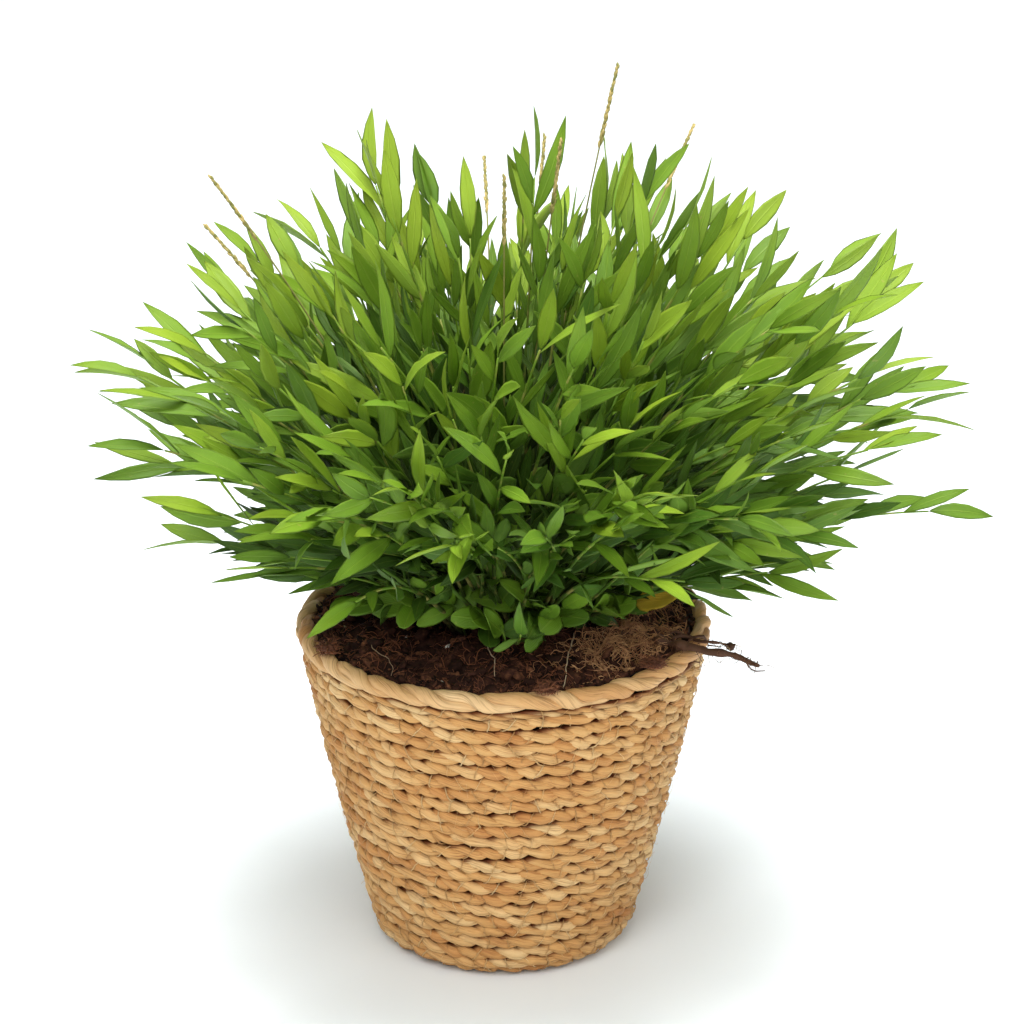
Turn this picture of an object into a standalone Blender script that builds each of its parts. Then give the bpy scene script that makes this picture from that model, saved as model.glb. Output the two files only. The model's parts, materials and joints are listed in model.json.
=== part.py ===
"""Bamboo grass in a seagrass basket, as a Blender model.

A coiled seagrass basket with a braided rim holds a plastic liner and a root
ball of peat.  A clump of grass culms rises from the middle of the peat: each
culm is one stem with its leaves, grown as one piece.  Between the culms stand
flower spikes, and short low shoots ring the foot of the clump.

Frame: metres, +Z up, origin at the middle of the basket's flat underside.
"""

from dataclasses import dataclass
from math import asin, cos, degrees, pi, radians, sin

import bmesh
import bpy
from mathutils import Matrix, Vector

# ---- driving dimensions (metres, degrees where the name says so) ----
BASKET_HEIGHT = 0.115
RIM_RADIUS = 0.070  # outside of the braid
BASE_RADIUS = 0.046  # outside of the wall just above its bottom corner
WALL = 0.005  # one rope thick
CORNER_RADIUS = 0.010
SIDE_BULGE = 0.0012  # how far the sides swell at mid height
BRAID_HEIGHT = 0.0065
BRAID_WIDTH = 0.0068
BRAID_OVERHANG = 0.0012  # the braid stands this far outside the wall
GAP = 0.0003  # between touching pieces

LINER_WALL = 0.0008
LINER_BELOW_RIM = 0.002

SOIL_EDGE_BELOW_RIM = 0.003
SOIL_MOUND = 0.008  # rise from the edge to the middle

CLUMP_RADIUS = 0.030  # where the outermost culms stand
SHOOT_COUNT = 40  # culms and flower spikes together
LOWEST_SHOOT = 13.0  # degrees above level
CULM_RADIUS = 0.0008
SIDE_REACH = 0.108  # from the clump's middle to a low culm's leaf tip
TOP_REACH = 0.162  # the same for a high culm
LEAF_THICKNESS = 0.0006
LEAF_DROOP = 0.003
LEAF_SPLAY = 32.0  # degrees between a leaf and its stem
LEAF_FULLEST = 0.35  # 0 is widest at the middle, more is widest nearer the foot
CULM_ARCH = 24.0  # degrees steeper at its foot than the line to its tip
CULM_TAPER = 0.35  # share of its thickness that a stem loses on the way up
SIDE_TO_TOP = 22.0  # degrees of rise over which the side reach becomes the top one
REACH_SPREAD = 0.04  # how much neighbouring culms differ in reach, each way
BEND_SHARE = 0.5  # of a stem's length, how far out it leans towards its steeper heading

LOW_SHOOT_COUNT = 6
LOW_SHOOT_REACH = 0.030  # from its foot to its leaf tip
LOW_SHOOT_RISE = 18.0  # degrees above level
LOW_SHOOT_ARCH = 10.0

SPIKE_STALK_RADIUS = 0.0005
SPIKE_HEAD_RADIUS = 0.0010
SPIKE_HEAD_LENGTH = 0.030
STALK_SHARES = (0.0, 0.3, 0.6)  # of a spike, where its bare stalk has points
# A spike's head, as shares of its length and of its radius, from stalk to tip.
SPIKE_HEAD_SWELL = ((0.15, 0.8), (0.5, 1.0), (0.8, 0.75), (1.0, 0.2))

ROOT_SAG = 0.002  # how far a root's free end hangs down
ROOT_TAPER = 0.6
ROOT_KNOTS = 12  # points along a root

YOUNG_SHOOT_RADIUS = 0.001
YOUNG_SHOOT_LENGTH = 0.008
YOUNG_SHOOT_PLACE = (0.047, 0.020)
YOUNG_SHOOT_LEAN = (0.6, -0.1, 0.75)
YOUNG_SHOOT_SWELL = (0.8, 1.0, 0.9, 0.6, 0.2)  # of its radius, from foot to tip

GOLDEN_ANGLE = 137.508  # degrees between one shoot and the next
ROUND_STEPS = 36  # faces round a turned piece
CORNER_TURNS = 3  # faces round the bottom corner
MERGE = 0.00001


@dataclass(frozen=True)
class Leafing:
    """The leaves of one kind of shoot: one at its tip, the others beside it."""

    length: float
    width: float
    spacing: float  # along the stem, from one side to the other
    side_leaves: int  # at most
    bare_foot: float  # no leaf grows on this much of the stem's foot


LONG_LEAVES = Leafing(0.034, 0.0078, spacing=0.014, side_leaves=4, bare_foot=0.012)
OVAL_LEAVES = Leafing(0.014, 0.0078, spacing=0.007, side_leaves=2, bare_foot=0.004)



@dataclass(frozen=True)
class Root:
    """A root that lies over the rim, inside and outside the braid's middle."""

    name: str
    azimuth: float  # degrees
    radius: float
    inside: float
    outside: float


ROOTS = (
    Root("root_over_rim", -28.0, 0.0016, inside=0.022, outside=0.028),
    Root("thin_root_over_rim", -21.0, 0.0008, inside=0.016, outside=0.014),
)


@dataclass(frozen=True)
class Clump:
    """A flat clump of peat and fibre on top of the braid, long along the rim."""

    name: str
    azimuth: float  # degrees
    length: float
    width: float
    height: float


CLUMPS = (
    Clump("fibre_clump_left", -150.0, length=0.011, width=0.006, height=0.0036),
    Clump("fibre_clump_front", -78.0, length=0.008, width=0.006, height=0.0028),
    Clump("fibre_clump_right", -43.0, length=0.009, width=0.006, height=0.0030),
)

# The shoots that flower, by their place in the clump, and how far each reaches.
SPIKE_REACH = {
    19: 0.187,
    22: 0.166,
    24: 0.190,
    30: 0.172,
    32: 0.162,
    36: 0.178,
    37: 0.183,
    39: 0.165,
}
# Culms whose reach differs from their neighbours', named the same way.
OWN_CULM_REACH = {0: 0.170, 2: 0.086, 8: 0.180, 9: 0.164, 13: 0.160, 21: 0.172}

# ---- derived sizes ----
WALL_TOP = BASKET_HEIGHT - BRAID_HEIGHT - GAP
WALL_TOP_RADIUS = RIM_RADIUS - BRAID_OVERHANG
BRAID_MID_RADIUS = RIM_RADIUS - BRAID_WIDTH / 2
SEAM_RADIUS = BASE_RADIUS - CORNER_RADIUS
LINER_FIT = WALL + GAP
SOIL_FIT = LINER_FIT + LINER_WALL + GAP
SOIL_EDGE = BASKET_HEIGHT - SOIL_EDGE_BELOW_RIM
SOIL_TOP = SOIL_EDGE + SOIL_MOUND
UP = Vector((0.0, 0.0, 1.0))


def clear_scene():
    """Removes every object that the file starts with."""
    for found in list(bpy.data.objects):
        bpy.data.objects.remove(found, do_unlink=True)


def new_collection(name):
    """A collection linked to the scene."""
    made = bpy.data.collections.new(name)
    bpy.context.scene.collection.children.link(made)
    return made


def new_material(name, colour, roughness, metallic=0.0):
    """A Principled material of one colour."""
    made = bpy.data.materials.new(name)
    made.use_nodes = True
    shader = made.node_tree.nodes["Principled BSDF"]
    shader.inputs["Base Color"].default_value = (*colour, 1.0)
    shader.inputs["Roughness"].default_value = roughness
    shader.inputs["Metallic"].default_value = metallic
    return made


def add_object(name, data, collection, material=None):
    """An object that shows data, in a collection, with a material."""
    made = bpy.data.objects.new(name, data)
    collection.objects.link(made)
    if material:
        data.materials.append(material)
    return made


# ---- the basket ----
def side_radius(height):
    """Outer radius of the basket's wall at a height above its corner."""
    share = (height - CORNER_RADIUS) / (WALL_TOP - CORNER_RADIUS)
    straight = BASE_RADIUS + (WALL_TOP_RADIUS - BASE_RADIUS) * share
    return straight + SIDE_BULGE * 4 * share * (1 - share)


def lined_radius(height):
    """The same outer radius, held in near the rim for what stands inside the braid."""
    return min(side_radius(height), RIM_RADIUS - BRAID_WIDTH + LINER_FIT - GAP)


def wall_line(radius_at, inset, top, rows=5):
    """An outline inside the basket, from its top down and round the bottom corner.

    radius_at gives the outer radius at a height, and inset is how far inside
    it the outline runs, all the way to the flat floor.
    """
    points = []
    for row in range(rows + 1):
        height = top + (CORNER_RADIUS - top) * row / rows
        points.append((radius_at(height) - inset, height))
    corner = CORNER_RADIUS - inset
    for turn in range(1, CORNER_TURNS + 1):
        angle = pi / 2 * turn / CORNER_TURNS
        radius = SEAM_RADIUS + corner * cos(angle)
        points.append((radius, CORNER_RADIUS - corner * sin(angle)))
    return points


def cup_line(inset, top):
    """The outline of something that fills the basket, down and in to the axis."""
    return wall_line(lined_radius, inset, top) + [(0.0, inset)]


def turned(name, outline, collection, material):
    """A turned piece: an outline of (radius, height) carried round the Z axis.

    The outline closes on itself, and a side of it along the axis is left out.
    """
    mesh = bpy.data.meshes.new(name)
    count = len(outline)
    sides = [(i, (i + 1) % count) for i in range(count)]
    sides = [(i, j) for i, j in sides if outline[i][0] > 0 or outline[j][0] > 0]
    mesh.from_pydata([(radius, 0.0, height) for radius, height in outline], sides, [])
    made = add_object(name, mesh, collection, material)
    screw = made.modifiers.new("Turn", "SCREW")
    screw.axis = "Z"
    screw.angle = 2 * pi
    screw.steps = ROUND_STEPS
    screw.render_steps = ROUND_STEPS
    screw.use_merge_vertices = True
    screw.merge_threshold = MERGE
    screw.use_smooth_shade = True
    return made


def build_basket(collection, seagrass, braid):
    """The wall, its base disc and the braid on its top row."""
    outer = wall_line(side_radius, 0.0, WALL_TOP)
    inner = wall_line(side_radius, WALL, WALL_TOP)
    turned("basket_wall", outer + inner[::-1], collection, seagrass)

    disc = bpy.data.meshes.new("basket_base")
    bm = bmesh.new()
    bmesh.ops.create_cone(
        bm,
        cap_ends=True,
        segments=ROUND_STEPS,
        radius1=SEAM_RADIUS - GAP,
        radius2=SEAM_RADIUS - GAP,
        depth=WALL,
    )
    bm.to_mesh(disc)
    bm.free()
    base = add_object("basket_base", disc, collection, seagrass)
    base.location.z = WALL / 2

    section = []
    section_sides = 8
    for turn in range(section_sides):
        angle = pi / 2 - 2 * pi * turn / section_sides
        radius = BRAID_MID_RADIUS + BRAID_WIDTH / 2 * cos(angle)
        height = BASKET_HEIGHT - BRAID_HEIGHT / 2 + BRAID_HEIGHT / 2 * sin(angle)
        section.append((radius, height))
    turned("rim_braid", section, collection, braid)


def build_filling(collection, plastic, peat):
    """The liner inside the wall and the root ball inside the liner."""
    liner_top = BASKET_HEIGHT - LINER_BELOW_RIM
    outer = cup_line(LINER_FIT, liner_top)
    inner = cup_line(LINER_FIT + LINER_WALL, liner_top)
    turned("liner", outer + inner[::-1], collection, plastic)

    top = [(0.0, SOIL_TOP)]
    steps = 5
    for step in range(1, steps):
        radius = soil_edge_radius() * step / steps
        top.append((radius, soil_height(radius)))
    turned("soil", top + cup_line(SOIL_FIT, SOIL_EDGE), collection, peat)


def soil_edge_radius():
    """Where the peat's top meets the liner."""
    return lined_radius(SOIL_EDGE) - SOIL_FIT


def soil_height(radius):
    """Height of the peat's mounded top at a radius from the axis."""
    share = min(radius / soil_edge_radius(), 1.0)
    return SOIL_EDGE + SOIL_MOUND * (1 + cos(pi * share)) / 2


# ---- tubes ----
def tube(name, points, radii, collection, material, sides=4):
    """A tube through points, with a radius at each, as a curve object."""
    curve = bpy.data.curves.new(name, "CURVE")
    curve.dimensions = "3D"
    curve.bevel_depth = 1.0
    curve.bevel_resolution = (sides - 4) // 2
    curve.use_fill_caps = True
    line = curve.splines.new("POLY")
    line.points.add(len(points) - 1)
    for knot, point, radius in zip(line.points, points, radii):
        knot.co = (*point, 1.0)
        knot.radius = radius
    line.use_smooth = True
    return add_object(name, curve, collection, material)


def as_mesh(curve_object, collection, material):
    """The same tube as a closed mesh object, so that leaves can join it."""
    name = curve_object.name
    scene_state = bpy.context.evaluated_depsgraph_get()
    shown = curve_object.evaluated_get(scene_state)
    mesh = bpy.data.meshes.new_from_object(shown)
    bm = bmesh.new()
    bm.from_mesh(mesh)
    bmesh.ops.remove_doubles(bm, verts=bm.verts, dist=MERGE)
    bm.to_mesh(mesh)
    bm.free()
    mesh.materials.clear()
    place = curve_object.matrix_world.copy()
    bpy.data.objects.remove(curve_object, do_unlink=True)
    made = add_object(name, mesh, collection, material)
    made.matrix_world = place
    return made


def arc_point(start, middle, end, share):
    """A point on the curve from start to end that bends towards middle."""
    near = start.lerp(middle, share)
    far = middle.lerp(end, share)
    return near.lerp(far, share)


# ---- leaves and shoots ----
def add_leaf(bm, foot, heading, face, length, width):
    """Adds one closed leaf blade: a flattened spindle that droops to its tip.

    foot is where it leaves the stem, heading the way it points, and face the
    direction that its upper side looks.
    """
    side = heading.cross(face).normalized()
    made = bmesh.ops.create_uvsphere(bm, u_segments=4, v_segments=4, radius=0.5)
    for vertex in made["verts"]:
        along = vertex.co.z + 0.5
        along -= LEAF_FULLEST * along * (1 - along)
        vertex.co = (
            foot
            + heading * (length * along)
            + side * (width * vertex.co.x)
            + face * (LEAF_THICKNESS * vertex.co.y - LEAF_DROOP * along * along)
        )


class Shoot:
    """The line that one shoot grows along, from its foot to its reach."""

    def __init__(self, azimuth, rise, foot_radius, reach, arch=CULM_ARCH):
        """azimuth and rise are in degrees, and reach is from the clump's middle."""
        self.out = Vector((cos(radians(azimuth)), sin(radians(azimuth)), 0.0))
        self.across = Vector((-self.out.y, self.out.x, 0.0))
        foot_height = soil_height(foot_radius) + GAP + 2 * CULM_RADIUS
        self.foot = self.out * foot_radius + UP * foot_height
        steep = rise + arch * (1 - rise / 90.0)
        self.tip = UP * SOIL_TOP + self.heading(rise) * reach
        span = (self.tip - self.foot).length
        self.bend = self.foot + self.heading(steep) * (span * BEND_SHARE)
        self.length = span

    def heading(self, rise):
        """The unit vector at this many degrees above level."""
        return self.out * cos(radians(rise)) + UP * sin(radians(rise))

    def point(self, share):
        """The point at a share of the way from the foot to the tip."""
        return arc_point(self.foot, self.bend, self.tip, share)

    def along(self, share):
        """The growing direction at a share of the way."""
        step = 0.01
        return (self.point(share + step) - self.point(share - step)).normalized()

    def face(self, share):
        """Square to the shoot and to the way its leaves spread."""
        return self.along(share).cross(self.across).normalized()


def leafy_shoot(name, shoot, leafing, collections, material):
    """A stem with a leaf at its tip and leaves on alternate sides below it.

    The leaves are one helper object that a Boolean union joins to the stem,
    because they grew as one piece.
    """
    parts, helpers = collections
    length, width = leafing.length, leafing.width
    stem_end = 1.0 - (length - 2 * CULM_RADIUS) / shoot.length
    knots = 5
    shares = [stem_end * knot / (knots - 1) for knot in range(knots)]
    radii = [CULM_RADIUS * (1.0 - CULM_TAPER * share) for share in shares]
    line = [shoot.point(share) for share in shares]
    stem = as_mesh(tube(name, line, radii, parts, None), parts, material)

    mesh = bpy.data.meshes.new(name + "_leaves")
    bm = bmesh.new()
    tip_face = shoot.face(stem_end)
    foot = shoot.point(stem_end) - shoot.along(stem_end) * (2 * CULM_RADIUS)
    add_leaf(bm, foot, shoot.along(stem_end), tip_face, length, width)
    splay = radians(LEAF_SPLAY)
    room = int((stem_end * shoot.length - leafing.bare_foot) / leafing.spacing)
    for number in range(1, min(leafing.side_leaves, room) + 1):
        share = stem_end - number * leafing.spacing / shoot.length
        hand = 1 if number % 2 else -1
        along = shoot.along(share)
        heading = along * cos(splay) + shoot.across * (hand * sin(splay))
        add_leaf(bm, shoot.point(share), heading, shoot.face(share), length, width)
    bm.to_mesh(mesh)
    bm.free()
    leaves = add_object(name + "_leaves", mesh, helpers, material)
    leaves.hide_render = True
    leaves.display_type = "WIRE"
    join = stem.modifiers.new("Leaves", "BOOLEAN")
    join.operation = "UNION"
    join.object = leaves
    return stem


def flower_spike(name, shoot, collection, material):
    """A thin bare stalk that swells into a long grainy head."""
    head_start = 1.0 - SPIKE_HEAD_LENGTH / shoot.length
    shares = [*STALK_SHARES, head_start]
    radii = [SPIKE_STALK_RADIUS] * len(shares)
    for share, swell in SPIKE_HEAD_SWELL:
        shares.append(head_start + (1.0 - head_start) * share)
        radii.append(SPIKE_HEAD_RADIUS * swell)
    line = [shoot.point(share) for share in shares]
    return tube(name, line, radii, collection, material)


def build_clump(collections, leaf_green, low_green, straw):
    """Every culm and flower spike, spread evenly over a dome."""
    culms = 0
    spikes = 0
    lowest = sin(radians(LOWEST_SHOOT))
    for place in range(SHOOT_COUNT):
        height = lowest + (1.0 - lowest) * (place + 0.5) / SHOOT_COUNT
        rise = degrees(asin(height))
        azimuth = place * GOLDEN_ANGLE
        foot_radius = CLUMP_RADIUS * cos(radians(rise))
        if place in SPIKE_REACH:
            spikes += 1
            shoot = Shoot(azimuth, rise, foot_radius, SPIKE_REACH[place])
            flower_spike(f"flower_spike_{spikes:02d}", shoot, collections[0], straw)
            continue
        culms += 1
        climb = min((rise - LOWEST_SHOOT) / SIDE_TO_TOP, 1.0)
        usual = SIDE_REACH + (TOP_REACH - SIDE_REACH) * climb
        usual *= 1.0 + REACH_SPREAD * (place % 3 - 1)
        shoot = Shoot(azimuth, rise, foot_radius, OWN_CULM_REACH.get(place, usual))
        leafy_shoot(f"culm_{culms:02d}", shoot, LONG_LEAVES, collections, leaf_green)
    for place in range(LOW_SHOOT_COUNT):
        azimuth = 360.0 / LOW_SHOOT_COUNT * (place + 0.5)
        reach = CLUMP_RADIUS + LOW_SHOOT_REACH
        shoot = Shoot(azimuth, LOW_SHOOT_RISE, CLUMP_RADIUS, reach, LOW_SHOOT_ARCH)
        name = f"low_shoot_{place + 1:02d}"
        leafy_shoot(name, shoot, OVAL_LEAVES, collections, low_green)


# ---- what lies on the peat and over the rim ----
def over_rim(root):
    """A root's line from the peat up over the braid and out, clear of both."""
    turn = radians(root.azimuth)
    out = Vector((cos(turn), sin(turn), 0.0))
    crest = BASKET_HEIGHT + GAP + root.radius
    rest = soil_height(BRAID_MID_RADIUS - root.inside) + GAP + root.radius
    points = []
    for knot in range(ROOT_KNOTS):
        distance = -root.inside + (root.inside + root.outside) * knot / (ROOT_KNOTS - 1)
        past_braid = max(abs(distance) - BRAID_WIDTH / 2, 0.0)
        if distance < 0:
            height = crest + (rest - crest) * past_braid / root.inside
        else:
            height = crest - ROOT_SAG * (past_braid / root.outside) ** 2
        points.append(out * (BRAID_MID_RADIUS + distance) + UP * height)
    return points


def build_roots(collection, bark):
    """The roots that lie over the rim, tapering to their tips."""
    last = ROOT_KNOTS - 1
    for root in ROOTS:
        radii = [root.radius * (1.0 - ROOT_TAPER * (knot / last) ** 2) for knot in range(ROOT_KNOTS)]
        tube(root.name, over_rim(root), radii, collection, bark, sides=6)


def build_clumps(collection, peat):
    """Small flat clumps of peat and fibre that lie on top of the braid."""
    for clump in CLUMPS:
        mesh = bpy.data.meshes.new(clump.name)
        bm = bmesh.new()
        bmesh.ops.create_cube(bm, size=1.0)
        bmesh.ops.scale(bm, verts=bm.verts, vec=(clump.width, clump.length, clump.height))
        bm.to_mesh(mesh)
        bm.free()
        made = add_object(clump.name, mesh, collection, peat)
        turn = radians(clump.azimuth)
        centre = Vector((cos(turn), sin(turn), 0.0)) * BRAID_MID_RADIUS
        centre.z = BASKET_HEIGHT + GAP + clump.height / 2
        made.matrix_world = Matrix.Translation(centre) @ Matrix.Rotation(turn, 4, "Z")
        soft = made.modifiers.new("Soft form", "SUBSURF")
        soft.levels = 1
        soft.render_levels = 1
        mesh.shade_smooth()


def build_young_shoot(collection, pink):
    """One young shoot that leans out of the peat on the right."""
    place = Vector((*YOUNG_SHOOT_PLACE, 0.0))
    clear = GAP + YOUNG_SHOOT_RADIUS
    foot = place + UP * (soil_height(place.length) + clear)
    lean = Vector(YOUNG_SHOOT_LEAN).normalized()
    step = YOUNG_SHOOT_LENGTH / (len(YOUNG_SHOOT_SWELL) - 1)
    points = [foot + lean * (step * knot) for knot in range(len(YOUNG_SHOOT_SWELL))]
    radii = [YOUNG_SHOOT_RADIUS * share for share in YOUNG_SHOOT_SWELL]
    tube("young_shoot", points, radii, collection, pink)


def main():
    """Builds the whole object."""
    clear_scene()
    parts = new_collection("bamboo_grass_in_basket")
    helpers = new_collection("cutters")
    seagrass = new_material("Seagrass", (0.62, 0.36, 0.13), 0.75)
    braid = new_material("Rim braid", (0.66, 0.43, 0.19), 0.70)
    plastic = new_material("Liner plastic", (0.02, 0.02, 0.02), 0.35)
    peat = new_material("Peat", (0.035, 0.014, 0.008), 0.95)
    leaf_green = new_material("Leaf green", (0.13, 0.30, 0.03), 0.45)
    low_green = new_material("Low leaf green", (0.06, 0.20, 0.04), 0.45)
    straw = new_material("Flower straw", (0.40, 0.26, 0.10), 0.80)
    bark = new_material("Root bark", (0.09, 0.04, 0.02), 0.85)
    pink = new_material("Young shoot pink", (0.60, 0.24, 0.16), 0.50)
    build_basket(parts, seagrass, braid)
    build_filling(parts, plastic, peat)
    build_clump((parts, helpers), leaf_green, low_green, straw)
    build_roots(parts, bark)
    build_clumps(parts, peat)
    build_young_shoot(parts, pink)


main()
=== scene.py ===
"""Bamboo grass in a seagrass basket: the visible pieces and the studio round them.

Every piece is a set of closed skins: rings of points carried along a path and
closed by a pole at each end.  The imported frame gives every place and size.
"""

import json
import logging
from dataclasses import dataclass, field
from enum import Enum
from typing import Any

import bpy
import numpy as np
from numpy.typing import NDArray
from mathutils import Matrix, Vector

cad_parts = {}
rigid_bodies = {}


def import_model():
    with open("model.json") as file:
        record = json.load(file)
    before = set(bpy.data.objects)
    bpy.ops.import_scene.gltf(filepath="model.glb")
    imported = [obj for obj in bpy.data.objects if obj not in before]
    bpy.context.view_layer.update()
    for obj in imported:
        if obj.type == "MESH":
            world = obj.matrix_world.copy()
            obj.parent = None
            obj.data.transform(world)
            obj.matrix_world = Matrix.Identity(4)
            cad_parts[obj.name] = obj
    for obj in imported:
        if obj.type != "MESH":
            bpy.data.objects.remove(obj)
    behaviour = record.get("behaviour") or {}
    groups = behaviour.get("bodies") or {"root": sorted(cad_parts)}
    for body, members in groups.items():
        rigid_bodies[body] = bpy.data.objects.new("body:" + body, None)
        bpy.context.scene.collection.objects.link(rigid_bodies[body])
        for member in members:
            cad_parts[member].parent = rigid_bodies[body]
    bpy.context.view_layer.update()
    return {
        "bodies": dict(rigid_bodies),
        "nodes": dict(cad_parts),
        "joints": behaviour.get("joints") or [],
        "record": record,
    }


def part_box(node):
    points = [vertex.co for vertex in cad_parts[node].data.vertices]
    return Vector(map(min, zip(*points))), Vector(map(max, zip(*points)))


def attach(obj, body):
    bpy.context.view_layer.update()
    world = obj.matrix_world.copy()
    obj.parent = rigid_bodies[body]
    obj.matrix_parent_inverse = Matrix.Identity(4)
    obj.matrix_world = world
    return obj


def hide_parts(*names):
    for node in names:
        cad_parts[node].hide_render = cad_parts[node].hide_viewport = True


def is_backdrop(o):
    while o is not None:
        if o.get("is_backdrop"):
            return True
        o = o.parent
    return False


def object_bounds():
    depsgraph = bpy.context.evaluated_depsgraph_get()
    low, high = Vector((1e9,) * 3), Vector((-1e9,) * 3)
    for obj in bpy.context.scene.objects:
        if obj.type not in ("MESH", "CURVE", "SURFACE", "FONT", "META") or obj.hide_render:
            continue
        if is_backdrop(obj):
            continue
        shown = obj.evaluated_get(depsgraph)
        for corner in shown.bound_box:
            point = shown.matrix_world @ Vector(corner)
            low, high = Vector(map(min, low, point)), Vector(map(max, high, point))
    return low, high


LOG = logging.getLogger("bamboo_grass")
Array = NDArray[np.float64]
UP = np.array([0.0, 0.0, 1.0])
TURN = 2 * np.pi
MM = 0.001
BODY = "root"


# ---- numbers ----
def unit(vectors: Array) -> Array:
    """The same directions at length one."""
    return vectors / np.maximum(np.linalg.norm(vectors, axis=-1, keepdims=True), 1e-12)


def smooth(low: float, high: float, value: Array) -> Array:
    """0 below low, 1 above high, and an S curve between."""
    share = np.clip((value - low) / (high - low), 0.0, 1.0)
    return share * share * (3 - 2 * share)


def waves(points: Array, length: float, seed: int, count: int = 20) -> Array:
    """Smooth noise about zero: plane waves in random directions, added up.

    Args:
        points: places to read it at, shape (..., dimensions).
        length: the usual distance between one crest and the next.
        seed: chooses the waves.
        count: how many are added.

    Returns:
        One value per point, with a spread of about one.
    """
    rng = np.random.default_rng(seed)
    headings = unit(rng.normal(size=(count, points.shape[-1])))
    numbers = TURN / length * rng.uniform(0.6, 1.5, count)
    phases = rng.uniform(0, TURN, count)
    total = np.zeros(points.shape[:-1])
    for heading, number, phase in zip(headings, numbers, phases):
        total += np.cos(points @ heading * number + phase)
    return total / np.sqrt(count / 2)


def polar(angle: Array, radius: Array, height: Array) -> Array:
    """Points at an angle and radius round the Z axis, at a height."""
    flat = np.broadcast_arrays(radius * np.cos(angle), radius * np.sin(angle), height)
    return np.stack(flat, axis=-1)


def bend_line(foot: Array, middle: Array, tip: Array, share: Array) -> Array:
    """The curve from foot to tip that leans towards middle, at each share of the way.

    Args:
        foot: start points, shape (lines, 3).
        middle: the points that the lines lean towards.
        tip: end points.
        share: 0 to 1, shape (lines, steps).

    Returns:
        Points, shape (lines, steps, 3).
    """
    share = share[..., None]
    near = foot[:, None] * (1 - share) + middle[:, None] * share
    far = middle[:, None] * (1 - share) + tip[:, None] * share
    return near * (1 - share) + far * share


def circle(count: int) -> Array:
    """Even angles once round."""
    return TURN * np.arange(count) / count


def flat_place(angle: Array, radius: Array) -> Array:
    """Level places at an angle and radius, shape (..., 2)."""
    return np.stack([radius * np.cos(angle), radius * np.sin(angle)], -1)


def read_line(line: Array, slot: Array) -> Array:
    """Points read off a line of points at fractional steps along it."""
    steps = np.arange(len(line))
    return np.stack([np.interp(slot, steps, line[:, axis]) for axis in range(3)], -1)


def tube_rings(path: Array, radius: Array, sides: int) -> Array:
    """Rings square to each path: path + radius * (cos * side + sin * normal).

    Args:
        path: shape (tubes, steps, 3).
        radius: broadcasts to (tubes, steps).
        sides: points in a ring.

    Returns:
        Rings, shape (tubes, steps, sides, 3).
    """
    along = unit(np.gradient(path, axis=1))
    chord = unit(path[:, -1] - path[:, 0])
    spare = np.where(np.abs(chord[:, 2:]) > 0.9, np.array([1.0, 0.0, 0.0]), UP)
    side = unit(np.cross(along, spare[:, None]))
    normal = np.cross(side, along)
    angle = circle(sides)
    size = np.broadcast_to(radius, path.shape[:2])[..., None, None]
    round_it = side[:, :, None] * np.cos(angle)[:, None]
    round_it = round_it + normal[:, :, None] * np.sin(angle)[:, None]
    return path[:, :, None] + size * round_it


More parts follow.
